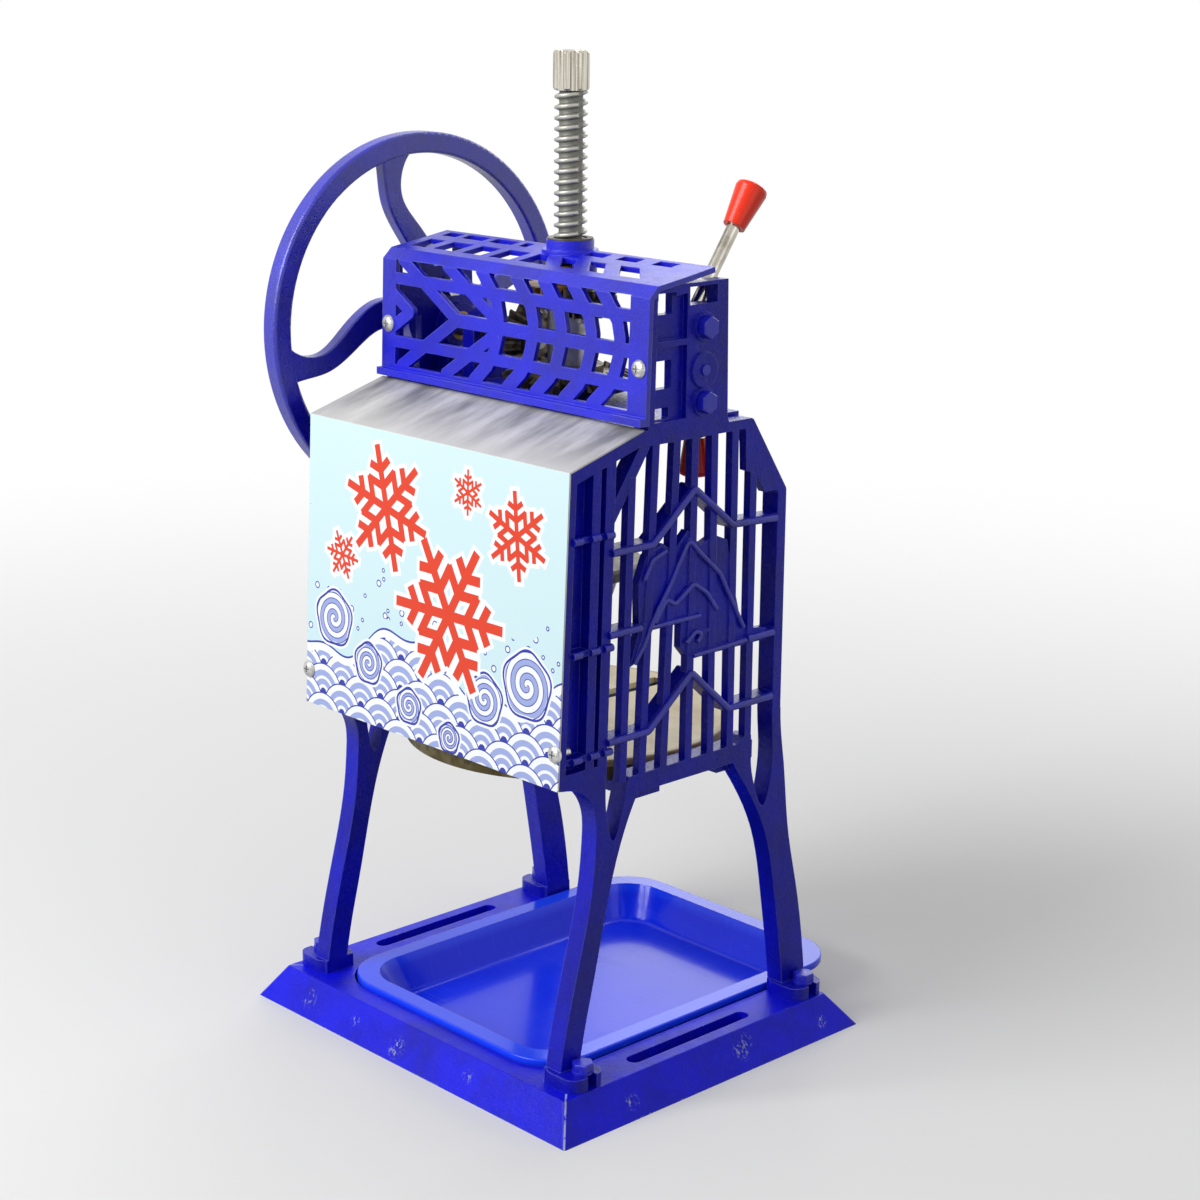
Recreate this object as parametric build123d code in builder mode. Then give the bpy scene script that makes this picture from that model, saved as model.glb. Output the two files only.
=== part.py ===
from build123d import *
import os
from math import atan2, cos, degrees, hypot, radians, sin

# Hand-cranked ice shaver. Millimetres, +Z up, X along the front panel, front towards -Y.
# The origin lies on the floor under the axis of the feed screw.

os.makedirs("parts", exist_ok=True)

# ---------------------------------------------------------------- driving dimensions

# fits
running_fit = 0.05  # radial, between a shaft and its bush
loose_fit = 0.1  # radial, between a fastener and its hole
push_fit = 0.02  # radial, between pieces that are pushed together and stay
seat_gap = 0.1  # between faces that are bolted together

# base casting
base_margin = 33.9  # beyond the side frames
base_front = -152.5
base_back = 131.5
base_height = 23.7
base_slope_side = 16.1
base_slope_front = 14.6
base_slope_back = 17.7
base_corner = 2.0
base_wall = 6.0
opening_margin = 14.0  # inside the side frames
opening_front = -122.0
opening_corner = 40.0
slot_y = -9.2
slot_length = 114.3
slot_width = 11.0

# drip tray
tray_side_gap = 3.0  # between the tray and the opening
tray_front = -121.0
tray_back = 173.0
tray_height = 27.5
tray_corner = 38.0
tray_wall = 2.0
tray_rim = 13.5
tray_floor_inset = 24.0
tray_floor_round = 5.0
tray_lip_drop = 5.0

# side frames: outlines are given in (Y, Z) on the outer face
frame_span = 260.0
frame_depth = 14.0
grille_depth = 6.0
rib_depth = 12.0
grille_bar_width = 6.0
rib_height = 5.0
flange_width = 8.0
grille_foot = 222.5
rail_bottom = 210.0
post_top = 393.5
post_back = 77.5
shoulder_y = 44.8
shoulder_z = 444.5
band_bottom = 438.0
band_top = 450.5
foot_height = 9.5
foot_width = 30.0
foot_corner = 9.0
front_foot_y = -114.5
rear_foot_y = 99.5
boss_y = -4.5
upper_boss_z = 508.8
middle_boss_z = 481.3
lower_boss_z = 460.7
boss_face = 1.5  # how far the bosses stand out

# front panel, in (Y, Z)
panel_low = (-128.9, 226.7)
panel_bend = (-120.2, 430.3)
panel_high = (-57.0, 449.2)
panel_sheet = 1.2
panel_screw_z = 250.9

# lattice cover, in (Y, Z)
cover_wall = 3.5
cover_foot = (-57.0, 451.0)
cover_lip_height = 5.0
cover_lip_reach = 4.5
cover_edge = (-54.5, 531.0)
cover_brow = (-47.0, 538.0)
cover_crown = (-22.0, 541.8)
cover_rear = (3.0, 546.0)
cover_screw_z = 486.6
lattice_bar = 8.6
collar_wall = 5.0
collar_top = 552.0

# crank train
shaft_z = 481.0
shaft_radius = 7.0
bush_wall = 3.0
bevel_module = 3.0
pinion_teeth = 15
gear_teeth = 30
bevel_face = 14.0
wheel_standoff = 30.0  # from the side frame's face to the middle of the wheel
wheel_radius = 132.0
wheel_rim_width = 15.0
wheel_rim_depth = 14.0
wheel_edge = 2.4
wheel_spoke_depth = 10.0
wheel_hub_radius = 20.0
spoke_count = 4
spoke_angle = 10.0
crank_pin_angle = 280.0
crank_pin_inset = 16.0  # from the rim's outside to the pin
crank_pin_radius = 5.0
grip_length = 82.0
grip_radius = 14.5

# feed train
screw_radius = 11.15
screw_top = 649.0
keyway_width = 5.0
keyway_depth = 2.5
screw_knob_height = 25.7
sleeve_wall = 3.8
sleeve_top = 515.0
spur_module = 2.0
sleeve_gear_teeth = 30
nut_gear_teeth = 29
feed_pinion_teeth = 12
spur_face = 6.0
feed_pinion_angle = -30.0

# bridge between the head plates
bridge_bottom = 440.0
bridge_top = 447.0
bridge_front = -49.0
bridge_rear = 44.0
spindle_boss_bottom = 430.0
spindle_boss_top = 450.0
pedestal_inset = 38.0  # from the side frame's face to the inner bearing
pedestal_width = 12.0

# ice table, blade and gripper
table_margin = 15.5  # inside the side frames
table_top_z = 224.0
table_sheet = 4.5
table_bottom = 210.0
ledge_width = 24.0
ledge_height = 7.5
ledge_reach = 28.0
blade_tilt = 30.0
blade_edge_x = -5.0
blade_start = 14.0
blade_length = 84.0
blade_width = 34.0
blade_sheet = 2.5
mouth = 5.0  # open slot in front of the blade's edge
gripper_radius = 52.0
gripper_bottom = 326.0
gripper_plate_height = 8.0
gripper_hub_height = 16.0
spike_length = 10.0

# levers
lever_inset = 15.5  # from the side frame's face to the clutch lever
lever_angle = 35.0
lever_reach = 86.7
rod_radius = 4.4
knob_length = 30.0
knob_small = 7.4
knob_large = 10.8
trip_inset = 42.0
trip_y = 32.4
trip_z = 434.5
trip_knob_length = 26.0

# ---------------------------------------------------------------- values worked out from them

frame_outer = frame_span / 2
frame_inner = frame_outer - frame_depth
plate_inner = frame_outer - 10.0
plate_recess = frame_outer - 4.0
base_half = frame_outer + base_margin
opening_half_width = frame_outer - opening_margin
opening_back = base_back + 2 * opening_corner
tray_half_width = opening_half_width - tray_side_gap
slot_x = frame_outer + 3.1
foot_bolt_x = frame_outer + 7.8
foot_end = frame_outer + 17.0
cover_half = frame_outer + 1.0
panel_lean = atan2(panel_bend[0] - panel_low[0], panel_bend[1] - panel_low[1])
cover_lean = atan2(cover_edge[0] - cover_foot[0], cover_edge[1] - cover_foot[1])
bush_radius = shaft_radius + bush_wall
wheel_x = -frame_outer - wheel_standoff
pin_reach = wheel_radius - crank_pin_inset
pin_y = pin_reach * cos(radians(crank_pin_angle))
pin_z = shaft_z + pin_reach * sin(radians(crank_pin_angle))
pinion_radius = bevel_module * pinion_teeth / 2
gear_radius = bevel_module * gear_teeth / 2
cone_length = hypot(pinion_radius, gear_radius)
small_share = (cone_length - bevel_face) / cone_length
sleeve_radius = screw_radius + running_fit + sleeve_wall
sleeve_bush_radius = sleeve_radius + running_fit + bush_wall
collar_bore = screw_radius + 2.85
feed_pinion_radius = spur_module * feed_pinion_teeth / 2
sleeve_gear_radius = spur_module * sleeve_gear_teeth / 2
feed_reach = feed_pinion_radius + sleeve_gear_radius
feed_x = feed_reach * cos(radians(feed_pinion_angle))
feed_y = feed_reach * sin(radians(feed_pinion_angle))
sleeve_gear_bottom = sleeve_top - spur_face - 1.0
nut_gear_bottom = sleeve_top + 1.0
feed_pinion_bottom = sleeve_gear_bottom - 2.0
feed_pinion_top = nut_gear_bottom + spur_face + 2.0
pedestal_x = -frame_outer + pedestal_inset
table_radius = frame_outer - table_margin
ledge_spots = [-42.0, 36.0]
ledge_screw_x = frame_inner - 19.0
foot_bolt_spots = [(side * foot_bolt_x, y + 2) for side in (-1, 1) for y in (front_foot_y, rear_foot_y)]
slot_spots = [(-slot_x, slot_y), (slot_x, slot_y)]
lever_x = frame_outer - lever_inset
trip_x = frame_outer - trip_inset


# ---------------------------------------------------------------- shared shapes

def finish(piece, label):
    """Label a finished piece and write its file."""
    piece.part.label = label
    export_step(piece.part, f"parts/{label}.step")


def plan(half_width, front, back, radius, mode=Mode.ADD):
    """A rounded rectangle about X = 0, between a front and a back line."""
    with Locations((0, (front + back) / 2)):
        RectangleRounded(2 * half_width, back - front, radius, mode=mode)


def outline(points, mode=Mode.ADD):
    """A filled outline through the given corners of the current sketch."""
    Polygon(*points, align=None, mode=mode)


def window(low, high, mode=Mode.ADD):
    """A rectangle between two corners of the current sketch."""
    with Locations(((low[0] + high[0]) / 2, (low[1] + high[1]) / 2)):
        Rectangle(high[0] - low[0], high[1] - low[1], mode=mode)


def disc(across, up, radius, mode=Mode.ADD):
    """A circle at one place of the current sketch."""
    with Locations((across, up)):
        Circle(radius, mode=mode)


def bar(start, end, width, mode=Mode.ADD):
    """A straight bar between two points of the current sketch."""
    run, rise = end[0] - start[0], end[1] - start[1]
    middle = ((start[0] + end[0]) / 2, (start[1] + end[1]) / 2, 0)
    with Locations(Location(middle, (0, 0, degrees(atan2(rise, run))))):
        Rectangle(hypot(run, rise), width, mode=mode)


def strip(points, width, mode=Mode.ADD):
    """Bars of one width through several points, with round joints."""
    for start, end in zip(points, points[1:]):
        bar(start, end, width, mode)
    with Locations(*points):
        Circle(width / 2, mode=mode)


def panel_y(height):
    """Y of the front panel's face at a height."""
    return panel_low[0] + (height - panel_low[1]) * sin(panel_lean) / cos(panel_lean)


def shelf_z(y):
    """Height of the front panel's sloping top at a depth."""
    slope = (panel_high[1] - panel_bend[1]) / (panel_high[0] - panel_bend[0])
    return panel_bend[1] + slope * (y - panel_bend[0])


def cover_y(height):
    """Y of the cover's front face at a height."""
    return cover_foot[0] + (height - cover_foot[1]) * sin(cover_lean) / cos(cover_lean)


def panel_screw_plane(side):
    """Where a panel screw stands: on the panel's face, square to it."""
    return Plane(origin=(side * (frame_outer - 3.3), panel_y(panel_screw_z), panel_screw_z), x_dir=(1, 0, 0),
                 z_dir=(0, -cos(panel_lean), sin(panel_lean)))


def cover_screw_plane(side):
    """Where a cover screw stands: on the cover's front, square to it."""
    return Plane(origin=(side * (frame_outer - 6.2), cover_y(cover_screw_z), cover_screw_z), x_dir=(1, 0, 0),
                 z_dir=(0, -cos(cover_lean), sin(cover_lean)))


def boss_plane(side, height, depth=0.0):
    """The face of a head-plate boss, looking outwards."""
    return Plane(origin=(side * (frame_outer + boss_face - depth), boss_y, height), x_dir=(0, side, 0),
                 z_dir=(side, 0, 0))


def spur_gear(teeth, pitch_radius, first_angle):
    """Outline of a spur gear, its first tooth at an angle; teeth are thinned for backlash."""
    root = pitch_radius - 1.2 * spur_module
    tip = pitch_radius + 0.85 * spur_module
    half = 0.6 * spur_module
    Circle(root)
    with PolarLocations(0, teeth, start_angle=first_angle):
        outline([(root - 1, -1.5 * half), (root, -1.45 * half), (pitch_radius, -half), (tip, -0.5 * half),
                 (tip, 0.5 * half), (pitch_radius, half), (root, 1.45 * half), (root - 1, 1.5 * half)])


def bevel_tooth(pitch_radius, apex_distance):
    """One tooth of a bevel gear whose apex is the origin and whose axis is -Z."""
    along = Vector(-pitch_radius, 0, apex_distance) / cone_length
    outward = Vector(apex_distance, 0, pitch_radius) / cone_length
    tip, root, half = 0.85 * bevel_module, 1.25 * bevel_module, 0.6 * bevel_module
    with BuildPart() as tooth:
        for share in (1.0, small_share):
            centre = Vector(pitch_radius, 0, -apex_distance) * share
            with BuildSketch(Plane(origin=centre, x_dir=outward, z_dir=along)):
                outline([(-root * share, -1.65 * half * share), (0, -half * share),
                         (tip * share, -0.45 * half * share), (tip * share, 0.45 * half * share),
                         (0, half * share), (-root * share, 1.65 * half * share)])
        loft(ruled=True)
    return tooth.part


def bevel_blank(pitch_radius, apex_distance, bore, hub_radius, hub_back, hub_front):
    """Half section of a bevel gear's body in (radius, height), its apex at the origin."""
    sink = 1.1 * bevel_module
    root_r = pitch_radius - sink * apex_distance / cone_length
    root_z = -apex_distance - sink * pitch_radius / cone_length
    nose = min(root_r * small_share - 2.0, hub_radius)
    outline([(bore, hub_back), (hub_radius, hub_back), (hub_radius, root_z - 3.0),
             (root_r - 2.5, root_z - 3.0), (root_r, root_z), (root_r * small_share, root_z * small_share),
             (nose, root_z * small_share), (nose, hub_front), (bore, hub_front)])


def hex_bolt(across_flats, head, shank_radius, shank_length):
    """A hexagon bolt with its shank along -Z and the underside of its head at Z = 0."""
    with BuildPart() as bolt:
        with BuildSketch():
            RegularPolygon(across_flats / 2, 6, major_radius=False, rotation=30)
        extrude(amount=head)
        chamfer(bolt.faces().sort_by(Axis.Z)[-1].edges(), 0.6)
        with BuildSketch():
            Circle(shank_radius)
        extrude(amount=-shank_length)
    return bolt.part


def hex_nut(across_flats, height, bore):
    """A hexagon nut standing on Z = 0."""
    with BuildPart() as nut:
        with BuildSketch():
            RegularPolygon(across_flats / 2, 6, major_radius=False)
            Circle(bore, mode=Mode.SUBTRACT)
        extrude(amount=height)
    return nut.part


def truss_screw(head_radius, head, shank_radius, shank_length):
    """A truss-head screw with its shank along -Z and the underside of its head at Z = 0."""
    with BuildPart() as screw:
        with BuildSketch(Plane.XZ):
            outline([(0, head), (0, -shank_length), (shank_radius, -shank_length), (shank_radius, 0),
                     (head_radius, 0), (head_radius, 0.25 * head), (0.82 * head_radius, 0.66 * head),
                     (0.5 * head_radius, 0.92 * head), (0.25 * head_radius, head)])
        revolve(axis=Axis.Z)
        with BuildSketch(Plane.XY.offset(head)):
            Rectangle(0.9 * head_radius, 0.9)
            Rectangle(0.9, 0.9 * head_radius)
        extrude(amount=-0.55 * head, mode=Mode.SUBTRACT)
    return screw.part


def tapered_knob(length):
    """A plastic knob that widens upwards from Z = 0, bored from below for its rod."""
    with BuildPart() as knob:
        with BuildSketch(Plane.XZ):
            outline([(0, 0), (knob_small, 0), (knob_large, length - 3.5), (knob_large - 0.6, length - 1.2),
                     (knob_large - 2.4, length), (0, length)])
        revolve(axis=Axis.Z)
        with BuildSketch():
            Circle(rod_radius + push_fit)
        extrude(amount=0.7 * length, mode=Mode.SUBTRACT)
    return knob.part


# ---------------------------------------------------------------- base casting

# the hollow underneath: the outer form drawn in by the wall, less webs round every opening
with BuildPart() as base_hollow:
    with BuildSketch():
        plan(base_half - base_wall, base_front + base_wall, base_back - base_wall, base_corner / 2)
    with BuildSketch(Plane.XY.offset(base_height - base_wall)):
        plan(base_half - base_slope_side - base_wall / 2, base_front + base_slope_front + base_wall / 2,
             base_back - base_slope_back - base_wall / 2, base_corner / 2)
    loft()
    with BuildSketch():
        plan(opening_half_width + base_wall, opening_front - base_wall, opening_back,
             opening_corner + base_wall)
        with Locations(*slot_spots):
            SlotOverall(slot_length + base_wall, slot_width + base_wall, rotation=90)
        with Locations(*foot_bolt_spots):
            Circle(9.0)
    extrude(amount=base_height, mode=Mode.SUBTRACT)

with BuildPart() as base_frame:
    with BuildSketch():
        plan(base_half, base_front, base_back, base_corner)
    with BuildSketch(Plane.XY.offset(base_height)):
        plan(base_half - base_slope_side, base_front + base_slope_front, base_back - base_slope_back,
             base_corner)
    loft()
    fillet(base_frame.faces().sort_by(Axis.Z)[-1].edges(), 1.2)
    with BuildSketch():
        plan(opening_half_width, opening_front, opening_back, opening_corner)
        with Locations(*slot_spots):
            SlotOverall(slot_length, slot_width, rotation=90)
        with Locations(*foot_bolt_spots):
            Circle(4.0 + loose_fit)
    extrude(amount=base_height, mode=Mode.SUBTRACT)
    add(base_hollow.part, mode=Mode.SUBTRACT)
finish(base_frame, "base_frame")

# ---------------------------------------------------------------- drip tray

def tray_plan(height, inset):
    """The tray's outline at a height, drawn in from its rim."""
    with BuildSketch(Plane.XY.offset(height), mode=Mode.PRIVATE) as level:
        plan(tray_half_width - inset, tray_front + inset, tray_back - inset, tray_corner - 0.55 * inset)
    return level.sketch


with BuildPart() as tray_inside:
    loft([tray_plan(tray_wall, tray_floor_inset + tray_wall), tray_plan(tray_height, tray_rim)])
    fillet(tray_inside.faces().sort_by(Axis.Z)[0].edges(), tray_floor_round)

with BuildPart() as tray:
    loft([tray_plan(0, tray_floor_inset), tray_plan(tray_height - tray_wall, tray_rim - tray_wall)])
    fillet(tray.faces().sort_by(Axis.Z)[0].edges(), tray_floor_round)
    with BuildSketch(Plane.XY.offset(tray_height - tray_wall)):
        plan(tray_half_width, tray_front, tray_back, tray_corner)
    extrude(amount=tray_wall)
    with BuildSketch(Plane.XY.offset(tray_height - tray_lip_drop)):
        plan(tray_half_width, tray_front, tray_back, tray_corner)
        plan(tray_half_width - tray_wall, tray_front + tray_wall, tray_back - tray_wall,
             tray_corner - tray_wall, mode=Mode.SUBTRACT)
    extrude(amount=tray_lip_drop)
    fillet(tray.faces().sort_by(Axis.Z)[-1].edges(), 1.2)
    add(tray_inside.part, mode=Mode.SUBTRACT)
finish(tray, "tray")

# ---------------------------------------------------------------- side frame castings

front_low = (panel_y(panel_low[1]) + panel_sheet + seat_gap, panel_low[1])
front_high = (panel_y(panel_bend[1] - 4) + panel_sheet + seat_gap, panel_bend[1] - 4)
grille_bars = [((-71.8, 220), (-66.4, 420)), ((-54.5, 220), (-45.8, 440)), ((-34.8, 220), (-26.8, 440)),
               ((-11.8, 220), (-10.4, 440)), ((9.2, 220), (7.4, 440)), ((28.2, 220), (26.7, 440)),
               ((45.6, 205), (45.0, 425))]
mountain = [(-66, 296), (-58, 318), (-59, 350), (-52, 367), (-38, 373), (-28, 366), (-15, 378), (-3, 366),
            (10, 371), (22, 366), (27, 342), (35, 314), (43, 302), (62, 299), (62, 291), (-12, 291),
            (-20, 300), (-20, 317), (-50, 317), (-60, 298)]
snow_line = [(-45, 322), (-35, 336), (-27, 331), (-10, 342), (2, 334), (12, 321)]
near_ridge = [(-31, 346), (-24, 358), (-15, 372), (-5, 362), (14, 345), (38, 304)]
cloud_scroll = [(-16, 303), (-8, 309), (4, 308), (-6, 302)]


def front_leg():
    """The forked front leg in (Y, Z)."""
    with BuildLine(mode=Mode.PRIVATE) as edge:
        Spline((-126.5, base_height), (-111.5, 95), (-97.5, 155), (-94.6, 185), (-95.5, 203), (-105.5, 219.5),
               (front_low[0] + 3, front_low[1] - 0.6), tangents=[(0.14, 1), (-1, 0.12)])
        Polyline((front_low[0] + 3, front_low[1] - 0.6), (front_low[0], front_low[1]), (-121, 236),
                 (-88, 236), (-87, 224))
        Spline((-87, 224), (-86.5, 205), (-79.5, 182), (-70.5, 205), (-67, 222),
               tangents=[(0.02, -1), (0.15, 1)])
        Polyline((-67, 222), (-58, 222), (-58, rail_bottom))
        Spline((-58, rail_bottom), (-65, 197), (-80.5, 155), (-94.5, 95), (-109.5, base_height),
               tangents=[(-0.6, -1), (-0.14, -1)])
        Line((-109.5, base_height), (-126.5, base_height))
    make_face(edge.edges())


def rear_leg():
    """The forked rear leg in (Y, Z)."""
    with BuildLine(mode=Mode.PRIVATE) as edge:
        Spline((112, base_height), (100.5, 100), (89, 150), (82.6, 200), (post_back + 0.3, 240),
               tangents=[(-0.1, 1), (-0.02, 1)])
        Polyline((post_back + 0.3, 240), (post_back - flange_width, 240))
        Spline((post_back - flange_width, 240), (71, 200), (62, 172), (51.5, 195), (49, 226),
               tangents=[(0.01, -1), (-0.02, 1)])
        Polyline((49, 226), (42, 226), (34, 222), (32, rail_bottom))
        Spline((32, rail_bottom), (41, 196), (66.4, 150), (77.8, 100), (89, base_height),
               tangents=[(0.5, -1), (0.1, -1)])
        Line((89, base_height), (112, base_height))
    make_face(edge.edges())


with BuildPart() as side_frame_right:
    # flanges round the edge, the rails and the legs, at the full depth of the casting
    with BuildSketch(Plane.YZ.offset(frame_inner)):
        half = flange_width / 2
        strip([(front_low[0] + 2.6, front_low[1] + 3), (front_high[0] + 2.6, front_high[1])], 5.0)
        strip([(front_high[0] + 4.4, shelf_z(front_high[0] + 4.4) - 5.6), (-55, shelf_z(-55) - 5.6)],
              flange_width)
        strip([(shoulder_y - half, shoulder_z - half), (post_back - half - 0.3, post_top - 2),
               (post_back - half, 238)], flange_width)
        outline([(-60, band_bottom), (-54, 446.0), (-50, band_top), (18, band_top), (20, shoulder_z),
                 (shoulder_y - 3, shoulder_z), (shoulder_y, band_bottom - 3), (38, band_bottom)])
        window((-66, rail_bottom), (50, grille_foot))
        front_leg()
        rear_leg()
    extrude(amount=frame_depth)
    # recessed web behind the front edge, open as a narrow slit in its upper half
    with BuildSketch(Plane.YZ.offset(frame_inner + 2)):
        outline([(-123, 230), (-119, 322), (-116, 326), (-111.8, 425), (-84, 433), (-88, 230)])
    extrude(amount=4.0)
    with BuildSketch(Plane.YZ.offset(frame_inner + 2)):
        strip([(-101.5, 230), (-96.5, 430)], 7.0)
        strip([(-90.5, 226), (-84.5, 434)], flange_width)
    extrude(amount=frame_depth - 2)
    # vertical bars of the grille, and the solid corner under the shoulder
    with BuildSketch(Plane.YZ.offset(frame_outer - grille_depth)):
        for foot, head in grille_bars:
            bar(foot, head, grille_bar_width)
        outline([(36, band_bottom), (37.5, 410), (47.5, 406), (56, 393), (post_back - 6, 393),
                 (shoulder_y - 2, shoulder_z - 4)])
    extrude(amount=grille_depth)
    # chevron ribs and short ties across the bars
    with BuildSketch(Plane.YZ.offset(frame_outer - rib_depth)):
        strip([(-84, 374), (-48, 374), (-11, 405), (25, 376), (post_back - 4, 374)], rib_height)
        strip([(-86, 250), (-50, 250), (-11, 282), (25, 250), (post_back - 4, 250)], rib_height)
        strip([(-86, 321), (-60, 321)], rib_height)
        strip([(44, 295), (post_back - 4, 295)], rib_height)
        strip([(-84, 396), (-52, 443)], flange_width)
        for height in (386, 313, 244):
            strip([(front_low[0] + 4 + 0.042 * (height - 226), height), (-88, height)], 4.0)
    extrude(amount=rib_depth - 0.4)
    # mountain plate with its snow line, ridges and cloud band in relief
    with BuildSketch(Plane.YZ.offset(frame_outer - grille_depth - 1)):
        outline(mountain)
    extrude(amount=grille_depth)
    with BuildSketch(Plane.YZ.offset(frame_outer - 2)):
        strip([(-48, 319.5), (-4, 319.5)], 3.0)
        strip([(-9, 293), (60, 295)], 3.0)
        strip(snow_line, 2.4)
        strip(near_ridge, 2.4)
        strip(cloud_scroll, 2.2)
        strip([(-55, 352), (-48, 364), (-36, 368)], 2.4)
        strip([(-62, 300), (-56, 312), (-54, 322)], 2.6)
    extrude(amount=2.4)
    # head plate: a recessed panel between a front border and the bearing column
    plate_low_y = cover_y(band_top) + cover_wall + seat_gap
    plate_high_y = cover_y(cover_edge[1]) + cover_wall + seat_gap
    plate_top = cover_crown[1] - cover_wall - 0.8
    plate_edge = [(plate_low_y, band_top - 8), (plate_high_y, cover_edge[1] - 3),
                  (plate_high_y + 5, plate_top - 4), (-22, plate_top), (16.5, plate_top),
                  (18.6, band_top - 6)]
    with BuildSketch(Plane.YZ.offset(plate_inner)):
        outline(plate_edge)
    extrude(amount=plate_recess - plate_inner)
    with BuildSketch(Plane.YZ.offset(plate_recess)):
        outline(plate_edge)
        outline([(plate_low_y + 5.5, 452), (plate_high_y + 4.5, plate_top - 9), (-20, plate_top - 6),
                 (-20, 452)], mode=Mode.SUBTRACT)
        strip([(-48, 501), (-18, 501)], 4.0)
    extrude(amount=frame_outer - plate_recess)
    with BuildSketch(Plane.YZ.offset(plate_inner)):
        window((-46, 519), (-30, 533))
        window((-46, 472), (-30, 490))
        window((-46, 453), (-32, 460))
        window((-18, 523.5), (7, 535))
    extrude(amount=frame_depth, mode=Mode.SUBTRACT)
    # bosses for the two head bolts and, between them, for the plugged bearing seat
    with BuildSketch(Plane.YZ.offset(plate_inner)):
        disc(boss_y, upper_boss_z, 9.5)
        disc(boss_y, lower_boss_z, 9.5)
        disc(boss_y, middle_boss_z, 11.5)
    extrude(amount=frame_outer + boss_face - plate_inner)
    with BuildSketch(Plane.YZ.offset(plate_inner)):
        disc(boss_y, upper_boss_z, 4.0 + loose_fit)
        disc(boss_y, lower_boss_z, 4.0 + loose_fit)
    extrude(amount=frame_depth, mode=Mode.SUBTRACT)
    with BuildSketch(boss_plane(1, middle_boss_z)):
        Circle(3.5 + push_fit)
    extrude(amount=-5.0, mode=Mode.SUBTRACT)
    # feet: lugs that turn outwards on the base, slotted for their bolts
    for foot_y in (front_foot_y, rear_foot_y):
        with BuildSketch(Plane.XY.offset(base_height)):
            with Locations(((frame_inner + foot_end) / 2, foot_y)):
                RectangleRounded(foot_end - frame_inner, foot_width, foot_corner)
            with Locations(((frame_inner + frame_outer) / 2, foot_y)):
                Rectangle(frame_depth, foot_width - 6)
        extrude(amount=foot_height)
        with BuildSketch(Plane.XY.offset(base_height)):
            with Locations((foot_bolt_x + 7, foot_y + 2)):
                SlotOverall(23, 8.0 + 2 * loose_fit)
        extrude(amount=foot_height, mode=Mode.SUBTRACT)
    # ledges inside the bottom rail, which carry the ice table
    for ledge in ledge_spots:
        with BuildSketch(Plane.XY.offset(table_bottom - seat_gap)):
            window((frame_inner + 2 - ledge_reach, ledge - ledge_width / 2),
                   (frame_inner + 2, ledge + ledge_width / 2))
        extrude(amount=-ledge_height)
        with BuildSketch(Plane.XY.offset(table_bottom - seat_gap - ledge_height)):
            window((frame_inner, ledge - ledge_width / 2), (frame_inner + 6, ledge + ledge_width / 2))
        extrude(amount=ledge_height + 6)
        with BuildSketch(Plane.XY.offset(table_bottom)):
            disc(ledge_screw_x, ledge, 2.5 + loose_fit)
        extrude(amount=-ledge_height - 1, mode=Mode.SUBTRACT)
    # screw holes for the front panel and for the cover
    with BuildSketch(panel_screw_plane(1).offset(1)):
        Circle(2.5 + loose_fit)
    extrude(amount=-14, mode=Mode.SUBTRACT)
    with BuildSketch(cover_screw_plane(1).offset(1)):
        Circle(2.5 + loose_fit)
    extrude(amount=-15, mode=Mode.SUBTRACT)
finish(side_frame_right, "side_frame_right")

# the left frame is the mirror image, with a boss for the crank shaft's bush
with BuildPart() as side_frame_left:
    add(mirror(side_frame_right.part, about=Plane.YZ))
    with BuildSketch(Plane.YZ.offset(-frame_outer - boss_face)):
        disc(0, shaft_z, bush_radius + 6)
    extrude(amount=boss_face + 18)
    with BuildSketch(Plane.YZ.offset(-frame_outer - boss_face)):
        disc(0, shaft_z, bush_radius)
    extrude(amount=boss_face + 18, mode=Mode.SUBTRACT)
finish(side_frame_left, "side_frame_left")

with BuildPart() as bearing_plug:
    with BuildSketch(boss_plane(1, middle_boss_z, 5.0)):
        Circle(3.5)
    extrude(amount=6.0)
finish(bearing_plug, "bearing_plug")

# ---------------------------------------------------------------- foot bolts and washers

with BuildPart() as foot_washers:
    with BuildSketch(Plane.XY.offset(base_height + foot_height)):
        with Locations(*foot_bolt_spots):
            Circle(7.4)
            Circle(4.0 + loose_fit, mode=Mode.SUBTRACT)
    extrude(amount=1.6)
finish(foot_washers, "foot_washers")

foot_bolt = hex_bolt(13.0, 5.3, 4.0, foot_height + 1.6 + 16.0)
with BuildPart() as foot_bolts:
    for x, y in foot_bolt_spots:
        with Locations((x, y, base_height + foot_height + 1.6)):
            add(foot_bolt)
finish(foot_bolts, "foot_bolts")

# ---------------------------------------------------------------- front panel and its screws

with BuildPart() as front_panel:
    with BuildSketch(Plane.YZ.offset(-frame_outer)):
        outline([panel_low, panel_bend, panel_high, (panel_high[0], panel_high[1] - panel_sheet),
                 (panel_bend[0] + panel_sheet, shelf_z(panel_bend[0] + panel_sheet) - panel_sheet),
                 (panel_low[0] + panel_sheet, panel_low[1])])
    extrude(amount=frame_span)
    for side in (-1, 1):
        with BuildSketch(panel_screw_plane(side).offset(1)):
            Circle(2.5 + loose_fit)
        extrude(amount=-5, mode=Mode.SUBTRACT)
finish(front_panel, "front_panel")

panel_screw = truss_screw(5.9, 3.2, 2.5, 11.0)
with BuildPart() as panel_screws:
    for side in (-1, 1):
        with Locations(panel_screw_plane(side).offset(0.02)):
            add(panel_screw)
finish(panel_screws, "panel_screws")

# ---------------------------------------------------------------- lattice cover over the gears

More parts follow.
